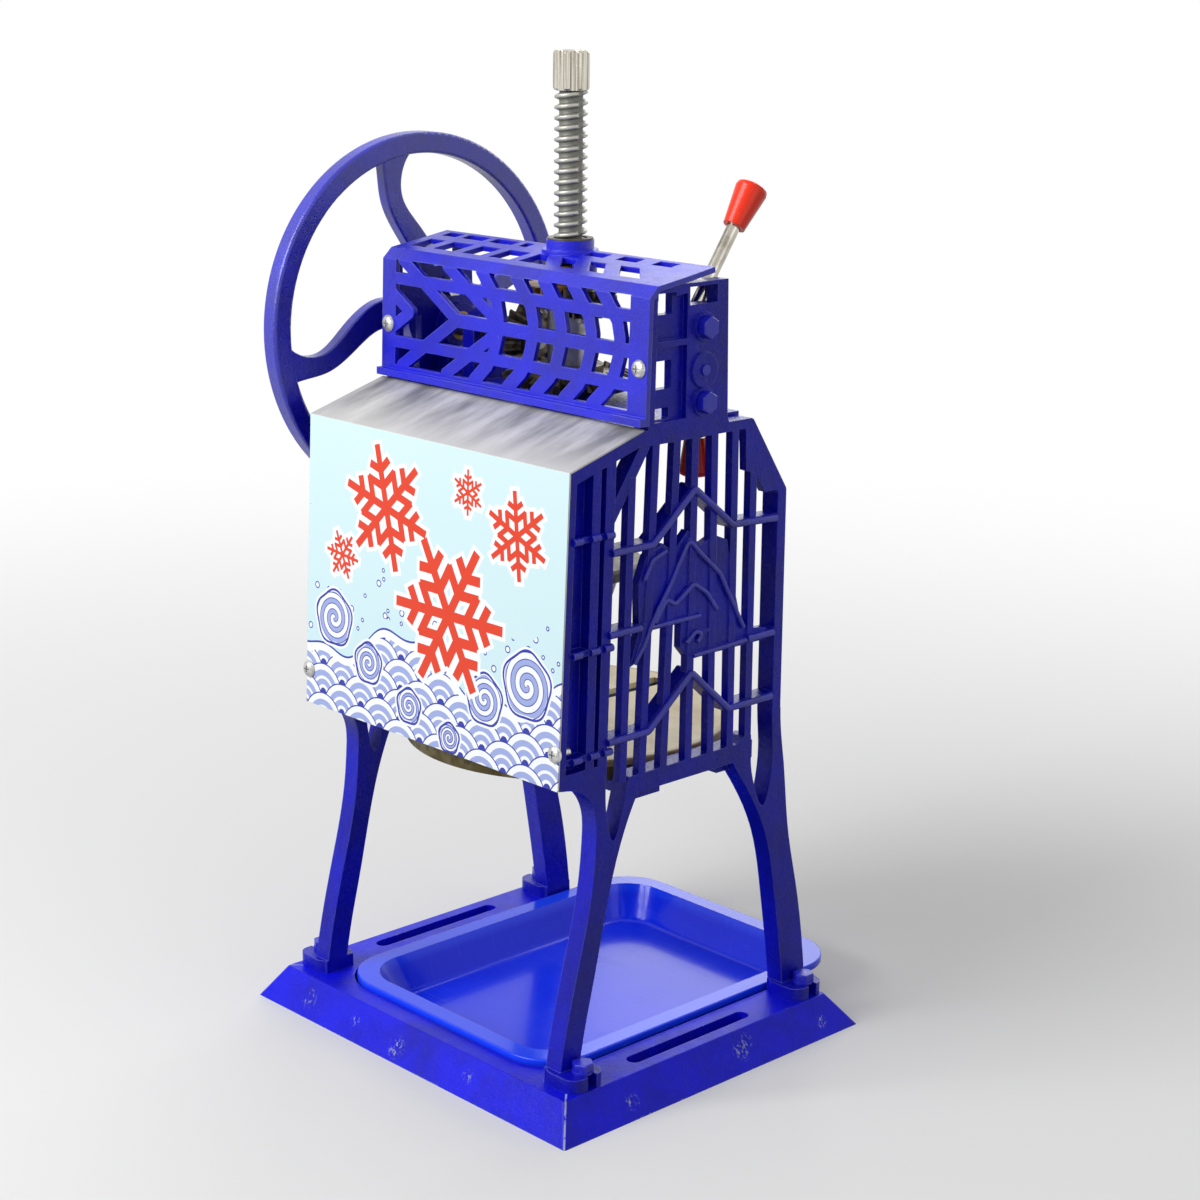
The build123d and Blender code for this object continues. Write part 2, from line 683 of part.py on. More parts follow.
lattice_left = -frame_outer + 13.3
lattice_right = frame_outer - 16.0
lattice_share = frame_span / 260.0
front_rows = [(459.0, 471.0), (479.0, 492.0), (501.0, 514.6), (522.5, 531.5)]
arrow_tips = [-101.5, -52.0, -5.0]
arrow_run = 58.0
bow_tips = [-9.5, 24.5, 51.5, 79.5, 105.5]
bow = [(-19, 533), (-10, 522.5), (-3, 514.5), (0, 503), (-1, 491.5), (-4.5, 479), (-10, 471), (-24, 458)]
top_front = (-38.0, -18.5)
top_rear = (-9.5, -0.5)
top_posts = [-101.5, -71.5, -43.5, -14.0]
top_rear_windows = [(-122, -107), (-101, -79), (-72, -49), (-42, -34), (22, 41), (53, 72), (86, 104)]

with BuildPart() as lattice_cover:
    with BuildSketch(Plane.YZ.offset(-cover_half)):
        outline([(cover_foot[0] - cover_lip_reach, cover_foot[1]),
                 (cover_foot[0] - cover_lip_reach, cover_foot[1] + cover_lip_height),
                 (cover_y(cover_foot[1] + cover_lip_height), cover_foot[1] + cover_lip_height),
                 cover_edge, cover_brow, cover_crown, cover_rear,
                 (cover_rear[0] + 0.4, cover_rear[1] - cover_wall),
                 (cover_crown[0] + 0.6, cover_crown[1] - cover_wall),
                 (cover_brow[0] + 1.6, cover_brow[1] - cover_wall),
                 (cover_edge[0] + cover_wall, cover_edge[1] - 2),
                 (cover_foot[0] + cover_wall, cover_foot[1])])
    extrude(amount=2 * cover_half)
    # openings of the front face: four rows of windows, crossed by arrows on the left and by bowed bars
    with BuildSketch(Plane.XZ.offset(40)):
        for low, high in front_rows:
            window((lattice_left, low), (lattice_right, high))
        window((lattice_left, 490), (arrow_tips[1] * lattice_share, 503))
        for tip in arrow_tips:
            tip_x = tip * lattice_share
            strip([(tip_x - arrow_run, 532), (tip_x, 496.5), (tip_x - arrow_run, 459)], lattice_bar,
                  mode=Mode.SUBTRACT)
        for tip in bow_tips:
            strip([(tip * lattice_share + shift, height) for shift, height in bow], lattice_bar + 1.5,
                  mode=Mode.SUBTRACT)
    extrude(amount=30, mode=Mode.SUBTRACT)
    # openings of the top: a leaning row in front and a square row behind
    with BuildSketch(Plane.XY.offset(cover_crown[1] - 12)):
        outline([(lattice_left - 5, top_front[0]), (lattice_right - 9, top_front[0]),
                 (lattice_right - 29, top_front[1]), (lattice_left - 5, top_front[1])])
        for post in top_posts:
            bar((post * lattice_share, -16), (post * lattice_share, -41), lattice_bar, mode=Mode.SUBTRACT)
        for tip in bow_tips[1:-1]:
            bar((tip * lattice_share - 21, -16), (tip * lattice_share + 2, -41), lattice_bar + 1.5,
                mode=Mode.SUBTRACT)
        for left, right in top_rear_windows:
            window((left * lattice_share, top_rear[0]), (right * lattice_share, top_rear[1]))
    extrude(amount=30, mode=Mode.SUBTRACT)
    # raised collar on a round lobe, and a pad underneath for the feed pinion's post
    with BuildSketch(Plane.XY.offset(cover_crown[1] - 4.0)):
        Circle(collar_bore + collar_wall)
    extrude(amount=7.7)
    with BuildSketch(Plane.XY.offset(cover_crown[1] - 0.8)):
        Circle(collar_bore + 2.0)
    extrude(amount=collar_top - cover_crown[1] + 0.8)
    with BuildSketch(Plane.XY.offset(cover_crown[1] - 7.8)):
        disc(feed_x, feed_y, 8.0)
    extrude(amount=6.0)
    with BuildSketch(Plane.XY.offset(cover_crown[1] - 10)):
        Circle(collar_bore)
    extrude(amount=30, mode=Mode.SUBTRACT)
    for side in (-1, 1):
        with BuildSketch(cover_screw_plane(side).offset(1)):
            Circle(2.5 + loose_fit)
        extrude(amount=-8, mode=Mode.SUBTRACT)
finish(lattice_cover, "lattice_cover")

cover_screw = truss_screw(5.9, 3.2, 2.5, 11.0)
with BuildPart() as cover_screws:
    for side in (-1, 1):
        with Locations(cover_screw_plane(side).offset(0.02)):
            add(cover_screw)
finish(cover_screws, "cover_screws")

with BuildPart() as cover_collar:
    with BuildSketch(Plane.XY.offset(cover_crown[1] + 1.2)):
        Circle(collar_bore - push_fit)
        Circle(screw_radius + 0.25, mode=Mode.SUBTRACT)
    extrude(amount=collar_top - cover_crown[1] - 1.2)
    with BuildSketch(Plane.XY.offset(collar_top + 0.05)):
        Circle(collar_bore + 1.4)
        Circle(screw_radius + 0.25, mode=Mode.SUBTRACT)
    extrude(amount=1.1)
    with BuildSketch(Plane.XY.offset(collar_top - 1)):
        Circle(collar_bore - push_fit)
        Circle(screw_radius + 0.25, mode=Mode.SUBTRACT)
    extrude(amount=1.1)
finish(cover_collar, "cover_collar")

# ---------------------------------------------------------------- bridge between the head plates

with BuildPart() as head_bridge:
    with BuildSketch(Plane.XY.offset(bridge_bottom)):
        window((-frame_inner + seat_gap, bridge_front), (frame_inner - seat_gap, bridge_rear))
    extrude(amount=bridge_top - bridge_bottom)
    # stiffening ribs, then the spindle's boss
    with BuildSketch(Plane.XY.offset(bridge_bottom - 8)):
        for rib_y in (-30, 14):
            window((-frame_inner + 6, rib_y), (frame_inner - 6, rib_y + 6))
    extrude(amount=8)
    with BuildSketch(Plane.XY.offset(spindle_boss_bottom)):
        Circle(sleeve_bush_radius + 6)
    extrude(amount=spindle_boss_top - spindle_boss_bottom)
    with BuildSketch(Plane.XY.offset(spindle_boss_bottom)):
        Circle(sleeve_bush_radius)
    extrude(amount=spindle_boss_top - spindle_boss_bottom, mode=Mode.SUBTRACT)
    # end pads that rise inside the head plates, and their bolt holes
    for side in (-1, 1):
        with BuildSketch(Plane.XY.offset(bridge_top)):
            window((min(side * frame_inner - side * seat_gap, side * (plate_inner - 10)), -14),
                   (max(side * frame_inner - side * seat_gap, side * (plate_inner - 10)), 12))
        extrude(amount=lower_boss_z + 3.8 - bridge_top)
        with BuildSketch(Plane.XY.offset(band_top + seat_gap)):
            window((min(side * (plate_inner - seat_gap), side * (plate_inner - 10)), -14),
                   (max(side * (plate_inner - seat_gap), side * (plate_inner - 10)), 12))
        extrude(amount=lower_boss_z + 3.8 - band_top - seat_gap)
        with BuildSketch(boss_plane(side, lower_boss_z, 10)):
            Circle(4.0 + loose_fit)
        extrude(amount=-14, mode=Mode.SUBTRACT)
    # pedestal of the inner shaft bearing
    with BuildSketch(Plane.YZ.offset(pedestal_x)):
        window((-bush_radius - 6, bridge_top), (bush_radius + 6, shaft_z))
        disc(0, shaft_z, bush_radius + 6)
    extrude(amount=pedestal_width)
    with BuildSketch(Plane.YZ.offset(pedestal_x)):
        disc(0, shaft_z, bush_radius)
    extrude(amount=pedestal_width, mode=Mode.SUBTRACT)
    # fork under the bridge for the trip lever
    for offset in (-10.0, 5.0):
        with BuildSketch(Plane.YZ.offset(trip_x + offset)):
            disc(trip_y, trip_z, 5.5)
            window((trip_y - 5.5, trip_z), (trip_y + 5.5, bridge_bottom + 1))
            disc(trip_y, trip_z, 3.0 + push_fit, mode=Mode.SUBTRACT)
        extrude(amount=5.0)
finish(head_bridge, "head_bridge")

with BuildPart() as spindle_bush:
    with BuildSketch(Plane.XY.offset(spindle_boss_bottom)):
        Circle(sleeve_bush_radius - push_fit)
        Circle(sleeve_radius + running_fit, mode=Mode.SUBTRACT)
    extrude(amount=spindle_boss_top - spindle_boss_bottom)
finish(spindle_bush, "spindle_bush")

with BuildPart() as shaft_bushes:
    for start, length in ((-frame_outer - boss_face, boss_face + 18), (pedestal_x, pedestal_width)):
        with BuildSketch(Plane.YZ.offset(start)):
            disc(0, shaft_z, bush_radius - push_fit)
            disc(0, shaft_z, shaft_radius + running_fit, mode=Mode.SUBTRACT)
        extrude(amount=length)
finish(shaft_bushes, "shaft_bushes")

# bolts through the head plates; the upper right one is the clutch lever's pivot
pivot_bolt = hex_bolt(13.0, 5.3, 4.0, 34.5)
plug_bolt = hex_bolt(13.0, 5.3, 4.0, 19.0)
bridge_bolt = hex_bolt(13.0, 5.3, 4.0, 28.0)
head_nut = hex_nut(13.0, 6.5, 4.0 + push_fit)
head_bolt_set = [(1, upper_boss_z, pivot_bolt, 33.6), (-1, upper_boss_z, plug_bolt, 18.2),
                 (1, lower_boss_z, bridge_bolt, 28.1), (-1, lower_boss_z, bridge_bolt, 28.1)]

with BuildPart() as head_bolts:
    for side, height, bolt, nut_depth in head_bolt_set:
        with Locations(boss_plane(side, height, -0.02)):
            add(bolt)
finish(head_bolts, "head_bolts")

with BuildPart() as head_nuts:
    for side, height, bolt, nut_depth in head_bolt_set:
        with Locations(boss_plane(side, height, nut_depth)):
            add(head_nut)
finish(head_nuts, "head_nuts")

# ---------------------------------------------------------------- crank wheel, shaft and grip

wheel_plane = Plane(origin=(wheel_x, 0, shaft_z), x_dir=(0, 1, 0), z_dir=(1, 0, 0))
# centre line and width of a spoke, outwards from the hub: (along, across, width)
spoke_line = [(12.0, 0.0, 22.0), (38.0, -12.0, 20.0), (64.0, -2.0, 16.5), (90.0, 8.0, 14.0),
              (108.0, 6.0, 17.0), (wheel_radius - 9.0, 1.0, 30.0)]


def spoke_edge(side):
    """Points along one edge of a spoke."""
    points = []
    for index, (along, across, width) in enumerate(spoke_line):
        before = spoke_line[max(index - 1, 0)]
        after = spoke_line[min(index + 1, len(spoke_line) - 1)]
        run, rise = after[0] - before[0], after[1] - before[1]
        reach = side * width / 2 / hypot(run, rise)
        points.append((along - rise * reach, across + run * reach))
    return points


with BuildPart() as spoke:
    with BuildSketch(Plane.XY.offset(-wheel_spoke_depth / 2)):
        with BuildLine():
            upper, lower = spoke_edge(1), spoke_edge(-1)
            Spline(*upper)
            Spline(*lower)
            Line(upper[0], lower[0])
            Line(upper[-1], lower[-1])
        make_face()
    extrude(amount=wheel_spoke_depth)
    long_edges = spoke.faces().filter_by(Plane.XY).edges().filter_by(GeomType.BSPLINE)
    fillet(long_edges, 1.4)

with BuildPart() as wheel_form:
    with BuildSketch(Plane.XZ):
        with Locations((wheel_radius - wheel_rim_width / 2, 0)):
            RectangleRounded(wheel_rim_width, wheel_rim_depth, wheel_edge)
    revolve(axis=Axis.Z)
    with PolarLocations(0, spoke_count, start_angle=spoke_angle):
        add(spoke.part)
    with BuildSketch(Plane.XY.offset(-12)):
        Circle(wheel_hub_radius)
    extrude(amount=26)
    pin_spot = (pin_reach * cos(radians(crank_pin_angle)), pin_reach * sin(radians(crank_pin_angle)))
    with BuildSketch(Plane.XY.offset(-10)):
        disc(pin_spot[0], pin_spot[1], 12.0)
    extrude(amount=17)
    with BuildSketch(Plane.XY.offset(-12)):
        Circle(shaft_radius + push_fit)
        disc(pin_spot[0], pin_spot[1], crank_pin_radius + push_fit)
    extrude(amount=26, mode=Mode.SUBTRACT)

with BuildPart() as crank_wheel:
    with Locations(wheel_plane):
        add(wheel_form.part)
finish(crank_wheel, "crank_wheel")

with BuildPart() as main_shaft:
    with BuildSketch(Plane.YZ.offset(wheel_x - 12)):
        disc(0, shaft_z, shaft_radius)
    extrude(amount=-wheel_x + 12 - 30.0)
    with BuildSketch(Plane.YZ.offset(wheel_x - 21)):
        disc(0, shaft_z, shaft_radius - 1)
    extrude(amount=10)
    with BuildSketch(Plane.YZ.offset(wheel_x + 14 + seat_gap)):
        disc(0, shaft_z, shaft_radius + 3)
    extrude(amount=wheel_standoff - 14 - seat_gap - boss_face - 0.3)
finish(main_shaft, "main_shaft")

shaft_nut = hex_nut(19.0, 7.0, shaft_radius - 1 + push_fit)
with BuildPart() as wheel_nut:
    with Locations(Plane(origin=(wheel_x - 12.05, 0, shaft_z), x_dir=(0, 1, 0), z_dir=(-1, 0, 0))):
        add(shaft_nut)
finish(wheel_nut, "wheel_nut")

with BuildPart() as crank_pin:
    with BuildSketch(Plane.YZ.offset(wheel_x + 13)):
        disc(pin_y, pin_z, crank_pin_radius)
    extrude(amount=-(13 + 13.5 + grip_length + 1.0))
    with BuildSketch(Plane.YZ.offset(wheel_x - 13.5 - grip_length - 0.3)):
        disc(pin_y, pin_z, crank_pin_radius + 3.5)
    extrude(amount=-3.5)
    with BuildSketch(Plane.YZ.offset(wheel_x - 10.05)):
        disc(pin_y, pin_z, crank_pin_radius + 3)
    extrude(amount=-3.2)
finish(crank_pin, "crank_pin")

pin_end_nut = hex_nut(16.0, 5.0, crank_pin_radius + push_fit)
with BuildPart() as pin_nut:
    with Locations(Plane(origin=(wheel_x + 7.05, pin_y, pin_z), x_dir=(0, 1, 0), z_dir=(1, 0, 0))):
        add(pin_end_nut)
finish(pin_nut, "pin_nut")

with BuildPart() as grip_form:
    with BuildSketch(Plane.XZ):
        with BuildLine():
            Spline((grip_radius - 3, 0), (grip_radius - 0.4, 0.28 * grip_length),
                   (grip_radius, 0.55 * grip_length), (grip_radius - 2.2, grip_length - 1.5))
            Polyline((grip_radius - 2.2, grip_length - 1.5), (grip_radius - 4.2, grip_length),
                     (crank_pin_radius + running_fit, grip_length), (crank_pin_radius + running_fit, 0),
                     (grip_radius - 3, 0))
        make_face()
    revolve(axis=Axis.Z)

with BuildPart() as crank_grip:
    with Locations(Plane(origin=(wheel_x - 13.4, pin_y, pin_z), x_dir=(0, 1, 0), z_dir=(-1, 0, 0))):
        add(grip_form.part)
finish(crank_grip, "crank_grip")

# ---------------------------------------------------------------- bevel pair

pinion_tooth = bevel_tooth(pinion_radius, gear_radius)
gear_tooth = bevel_tooth(gear_radius, pinion_radius)

with BuildPart() as bevel_pinion_form:
    with BuildSketch(Plane.XZ):
        bevel_blank(pinion_radius, gear_radius, shaft_radius + push_fit, 13.0, -gear_radius - 15, -31.0)
    revolve(axis=Axis.Z)
    with PolarLocations(0, pinion_teeth):
        add(pinion_tooth)

with BuildPart() as bevel_pinion:
    with Locations(Plane(origin=(0, 0, shaft_z), x_dir=(0, 0, -1), z_dir=(1, 0, 0))):
        add(bevel_pinion_form.part)
finish(bevel_pinion, "bevel_pinion")

with BuildPart() as bevel_gear_form:
    with BuildSketch(Plane.XZ):
        bevel_blank(gear_radius, pinion_radius, sleeve_radius + push_fit, sleeve_radius + 8,
                    spindle_boss_top + 0.1 - shaft_z, -pinion_radius + 10)
    revolve(axis=Axis.Z)
    with PolarLocations(0, gear_teeth, start_angle=180.0 / gear_teeth):
        add(gear_tooth)

with BuildPart() as bevel_gear:
    with Locations((0, 0, shaft_z)):
        add(bevel_gear_form.part)
finish(bevel_gear, "bevel_gear")

# ---------------------------------------------------------------- feed spindle, nut and pinion

with BuildPart() as spindle_sleeve:
    with BuildSketch(Plane.XY.offset(spindle_boss_bottom - 10)):
        Circle(sleeve_radius)
        Circle(screw_radius + running_fit, mode=Mode.SUBTRACT)
        window((screw_radius - keyway_depth + 0.3, -keyway_width / 2 + 0.08),
               (screw_radius + 1.5, keyway_width / 2 - 0.08))
    extrude(amount=sleeve_top - spindle_boss_bottom + 10)
finish(spindle_sleeve, "spindle_sleeve")

with BuildPart() as sleeve_nut:
    with BuildSketch(Plane.XY.offset(spindle_boss_bottom - 0.1)):
        Circle(sleeve_radius + 6)
        Circle(sleeve_radius + push_fit, mode=Mode.SUBTRACT)
        with PolarLocations(sleeve_radius + 6, 4, start_angle=45):
            Rectangle(5, 5, mode=Mode.SUBTRACT)
    extrude(amount=-8)
finish(sleeve_nut, "sleeve_nut")

with BuildPart() as sleeve_gear:
    with BuildSketch(Plane.XY.offset(sleeve_gear_bottom)):
        spur_gear(sleeve_gear_teeth, sleeve_gear_radius, feed_pinion_angle)
        Circle(sleeve_radius + push_fit, mode=Mode.SUBTRACT)
    extrude(amount=spur_face)
finish(sleeve_gear, "sleeve_gear")

with BuildPart() as feed_nut:
    with BuildSketch(Plane.XY.offset(nut_gear_bottom)):
        spur_gear(nut_gear_teeth, sleeve_gear_radius, feed_pinion_angle)
    extrude(amount=spur_face)
    with BuildSketch(Plane.XY.offset(sleeve_top + 0.1)):
        Circle(sleeve_radius + 3)
    extrude(amount=cover_crown[1] - cover_wall - 2.5 - sleeve_top)
    with BuildSketch(Plane.XY.offset(sleeve_top)):
        Circle(screw_radius + running_fit)
    extrude(amount=40, mode=Mode.SUBTRACT)
finish(feed_nut, "feed_nut")

with BuildPart() as feed_pinion:
    with BuildSketch(Plane.XY.offset(feed_pinion_bottom)):
        with Locations((feed_x, feed_y)):
            spur_gear(feed_pinion_teeth, feed_pinion_radius, feed_pinion_angle + 180.0 / feed_pinion_teeth)
        disc(feed_x, feed_y, 4.0 + running_fit, mode=Mode.SUBTRACT)
    extrude(amount=feed_pinion_top - feed_pinion_bottom)
finish(feed_pinion, "feed_pinion")

with BuildPart() as feed_post:
    with BuildSketch(Plane.XY.offset(feed_pinion_bottom - 4)):
        disc(feed_x, feed_y, 4.0)
    extrude(amount=cover_crown[1] - 7.9 - feed_pinion_bottom + 4)
    with BuildSketch(Plane.XY.offset(feed_pinion_bottom - 4)):
        disc(feed_x, feed_y, 6.5)
    extrude(amount=3.8)
    with BuildSketch(Plane.XY.offset(feed_pinion_top + 0.2)):
        disc(feed_x, feed_y, 6.0)
    extrude(amount=cover_crown[1] - 7.9 - feed_pinion_top - 0.2)
finish(feed_post, "feed_post")

with BuildPart() as feed_screw:
    with BuildSketch(Plane.XY.offset(gripper_bottom + 2 + seat_gap)):
        Circle(screw_radius)
    extrude(amount=screw_top - gripper_bottom - 2 - seat_gap)
    with BuildSketch(Plane.XY.offset(screw_top - 1)):
        Circle(5.0)
    extrude(amount=14)
    with BuildSketch(Plane.XY.offset(gripper_bottom + gripper_hub_height + 2)):
        window((screw_radius - keyway_depth, -keyway_width / 2), (screw_radius + 1, keyway_width / 2))
    extrude(amount=screw_top - gripper_bottom - gripper_hub_height - 12, mode=Mode.SUBTRACT)
    with BuildSketch(Plane.XY.offset(gripper_bottom)):
        Circle(4.0 + loose_fit)
    extrude(amount=24, mode=Mode.SUBTRACT)
finish(feed_screw, "feed_screw")

with BuildPart() as screw_knob:
    knob_radius = screw_radius + 1.0
    with BuildSketch(Plane.XZ):
        outline([(0, screw_top + 0.05), (knob_radius - 1.2, screw_top + 0.05), (knob_radius, screw_top + 1.5),
                 (knob_radius, screw_top + screw_knob_height - 1.5),
                 (knob_radius - 1.2, screw_top + screw_knob_height),
                 (knob_radius - 4.4, screw_top + screw_knob_height),
                 (knob_radius - 5.4, screw_top + screw_knob_height - 2.2),
                 (0, screw_top + screw_knob_height - 3)])
    revolve(axis=Axis.Z)
    with BuildSketch(Plane.XY.offset(screw_top)):
        with PolarLocations(knob_radius + 0.9, 8, start_angle=11):
            Circle(3.1)
    extrude(amount=screw_knob_height, mode=Mode.SUBTRACT)
    with BuildSketch(Plane.XY.offset(screw_top)):
        Circle(5.0 + push_fit)
    extrude(amount=13.2, mode=Mode.SUBTRACT)
finish(screw_knob, "screw_knob")

# ---------------------------------------------------------------- gripper plate and its spikes

with BuildPart() as gripper_plate:
    with BuildSketch(Plane.XY.offset(gripper_bottom)):
        Circle(gripper_radius)
    extrude(amount=gripper_plate_height)
    chamfer(gripper_plate.faces().sort_by(Axis.Z)[-1].edges(), 2.0)
    with BuildSketch(Plane.XY.offset(gripper_bottom)):
        Circle(screw_radius + 7)
    extrude(amount=gripper_hub_height)
    with BuildSketch(Plane.XY.offset(gripper_bottom + 2)):
        Circle(screw_radius + push_fit)
    extrude(amount=gripper_hub_height, mode=Mode.SUBTRACT)
    with BuildSketch(Plane.XY.offset(gripper_bottom)):
        Circle(4.0 + loose_fit)
        with PolarLocations(gripper_radius - 8, 10):
            Circle(3.0 + push_fit)
        with PolarLocations(gripper_radius - 25, 5, start_angle=18):
            Circle(3.0 + push_fit)
    extrude(amount=5, mode=Mode.SUBTRACT)
finish(gripper_plate, "gripper_plate")

with BuildPart() as spike:
    with BuildSketch(Plane.XZ):
        outline([(0, 4.9), (3.0, 4.9), (3.0, -2), (0.4, -spike_length), (0, -spike_length)])
    revolve(axis=Axis.Z)

with BuildPart() as gripper_spikes:
    with Locations((0, 0, gripper_bottom)):
        with PolarLocations(gripper_radius - 8, 10):
            add(spike.part)
        with PolarLocations(gripper_radius - 25, 5, start_angle=18):
            add(spike.part)
finish(gripper_spikes, "gripper_spikes")

under_bolt = hex_bolt(13.0, 5.3, 4.0, 22.0)
with BuildPart() as gripper_bolt:
    with Locations(Plane(origin=(0, 0, gripper_bottom - 0.05), x_dir=(1, 0, 0), z_dir=(0, 0, -1))):
        add(under_bolt)
finish(gripper_bolt, "gripper_bolt")

# ---------------------------------------------------------------- ice table and blade

plate_top_z = table_top_z - table_sheet - seat_gap
slot_back = blade_edge_x - (table_sheet + 1.0) / sin(radians(blade_tilt)) * cos(radians(blade_tilt))

with BuildPart() as table_top:
    with BuildSketch(Plane.XY.offset(table_top_z - table_sheet)):
        Circle(table_radius)
        window((slot_back, blade_start - 2), (blade_edge_x + mouth, blade_start + blade_length + 2),
               mode=Mode.SUBTRACT)
    extrude(amount=table_sheet)
    chamfer(table_top.faces().sort_by(Axis.Z)[-1].edges().filter_by(GeomType.CIRCLE), 0.8)
finish(table_top, "table_top")

with BuildPart() as table_plate:
    with BuildSketch(Plane.XY.offset(table_bottom)):
        Circle(table_radius - 1.5)
        window((blade_edge_x - blade_width, blade_start - 2), (blade_edge_x + mouth + 2,
               blade_start + blade_length + 2), mode=Mode.SUBTRACT)
    extrude(amount=plate_top_z - table_bottom)
    with BuildSketch(Plane.XY.offset(table_bottom)):
        with Locations(*[(side * ledge_screw_x, ledge) for side in (-1, 1) for ledge in ledge_spots]):
            Circle(2.5 + loose_fit)
    extrude(amount=7, mode=Mode.SUBTRACT)
    with BuildSketch(Plane.XY.offset(table_bottom)):
        for y in (blade_start - 7, blade_start + blade_length + 5):
            disc(blade_edge_x - 17, y, 2.5 + loose_fit)
    extrude(amount=7, mode=Mode.SUBTRACT)
finish(table_plate, "table_plate")

table_screw = truss_screw(5.0, 3.2, 2.5, ledge_height + 6.0)
with BuildPart() as table_screws:
    for side in (-1, 1):
        for ledge in ledge_spots:
            underside = (side * ledge_screw_x, ledge, table_bottom - seat_gap - ledge_height - 0.02)
            with Locations(Plane(origin=underside, x_dir=(1, 0, 0), z_dir=(0, 0, -1))):
                add(table_screw)
finish(table_screws, "table_screws")

# the blade's cross-section: X down its slope away from the edge, Y out of its underside
slope = (-cos(radians(blade_tilt)), 0, -sin(radians(blade_tilt)))
blade_section = Plane(origin=(blade_edge_x, blade_start + blade_length, table_top_z + 0.2), x_dir=slope,
                      z_dir=(0, -1, 0))
# the same slope seen square on: X down the slope, Y along the edge, Z out of the underside
blade_face = Plane(origin=(blade_edge_x, blade_start, table_top_z + 0.2), x_dir=slope,
                   z_dir=(sin(radians(blade_tilt)), 0, -cos(radians(blade_tilt))))
clamp_spots = [(27.0, share * blade_length) for share in (0.15, 0.5, 0.85)]

with BuildPart() as blade:
    with BuildSketch(blade_section):
        outline([(0, 0), (blade_width, 0), (blade_width, blade_sheet), (5.0, blade_sheet)])
    extrude(amount=blade_length)
    with BuildSketch(blade_face.offset(-10)):
        with Locations(*clamp_spots):
            Circle(2.5 + loose_fit)
    extrude(amount=20, mode=Mode.SUBTRACT)
finish(blade, "blade")

# bed under the blade, hung from the table's backing plate by a lug at each end
with BuildPart() as blade_bed:
    with BuildSketch(blade_section):
        outline([(9, blade_sheet + seat_gap), (36, blade_sheet + seat_gap), (31, 13), (4, 13)])
    extrude(amount=blade_length)
    with BuildSketch(Plane.XY.offset(table_bottom - seat_gap)):
        window((blade_edge_x - 33, blade_start - 13), (blade_edge_x - 4, blade_start))
        window((blade_edge_x - 33, blade_start + blade_length),
               (blade_edge_x - 4, blade_start + blade_length + 11))
    extrude(amount=-11)
    with BuildSketch(blade_face.offset(blade_sheet)):
        with Locations(*clamp_spots):
            Circle(2.5 + push_fit)
    extrude(amount=20, mode=Mode.SUBTRACT)
    with BuildSketch(Plane.XY.offset(table_bottom)):
        for y in (blade_start - 7, blade_start + blade_length + 5):
            disc(blade_edge_x - 17, y, 2.5 + loose_fit)
    extrude(amount=-12, mode=Mode.SUBTRACT)
finish(blade_bed, "blade_bed")

with BuildPart() as blade_clamp:
    with BuildSketch(blade_section):
        outline([(18, -seat_gap), (blade_width - 1, -seat_gap), (blade_width - 1, -3.5), (19.5, -3.5)])
    extrude(amount=blade_length)
    with BuildSketch(blade_face.offset(-10)):
        with Locations(*clamp_spots):
            Circle(2.5 + loose_fit)
    extrude(amount=20, mode=Mode.SUBTRACT)
finish(blade_clamp, "blade_clamp")

clamp_screw = truss_screw(4.4, 2.4, 2.5, 12.0)
with BuildPart() as clamp_screws:
    for s, along in clamp_spots:
        head = blade_face.from_local_coords((s, along, -3.55))
        with Locations(Plane(origin=head, x_dir=(0, 1, 0), z_dir=-blade_face.z_dir)):
            add(clamp_screw)
finish(clamp_screws, "clamp_screws")

bed_screw = truss_screw(5.0, 3.2, 2.5, 17.0)
with BuildPart() as bed_screws:
    for y in (blade_start - 7, blade_start + blade_length + 5):
        underside = (blade_edge_x - 17, y, table_bottom - seat_gap - 11.02)
        with Locations(Plane(origin=underside, x_dir=(1, 0, 0), z_dir=(0, 0, -1))):
            add(bed_screw)
finish(bed_screws, "bed_screws")

# ---------------------------------------------------------------- levers

lever_dir = (0, sin(radians(lever_angle)), cos(radians(lever_angle)))
lever_plane = Plane(origin=(lever_x, boss_y, upper_boss_z), x_dir=(1, 0, 0), z_dir=lever_dir)
knob_start = lever_reach - knob_length / 2

with BuildPart() as clutch_lever:
    with BuildSketch(lever_plane):
        Circle(rod_radius)
    extrude(amount=knob_start + 0.7 * knob_length - 1)
    with BuildSketch(Plane.YZ.offset(plate_inner - 15)):
        disc(boss_y, upper_boss_z, 9.0)
    extrude(amount=14.8)
    with BuildSketch(Plane.YZ.offset(plate_inner - 16)):
        disc(boss_y, upper_boss_z, 4.0 + running_fit)
    extrude(amount=18, mode=Mode.SUBTRACT)
finish(clutch_lever, "clutch_lever")

clutch_knob_form = tapered_knob(knob_length)
with BuildPart() as clutch_knob:
    with Locations(lever_plane.offset(knob_start)):
        add(clutch_knob_form)
finish(clutch_knob, "clutch_knob")

trip_knob_start = trip_z - 401.0 - trip_knob_length
with BuildPart() as trip_lever:
    with BuildSketch(Plane.XY.offset(trip_z)):
        disc(trip_x, trip_y, rod_radius)
    extrude(amount=-trip_knob_start - 0.7 * trip_knob_length + 1)
    with BuildSketch(Plane.YZ.offset(trip_x - 4.9)):
        disc(trip_y, trip_z, 5.2)
    extrude(amount=9.8)
    with BuildSketch(Plane.YZ.offset(trip_x - 6)):
        disc(trip_y, trip_z, 3.0 + running_fit)
    extrude(amount=12, mode=Mode.SUBTRACT)
finish(trip_lever, "trip_lever")

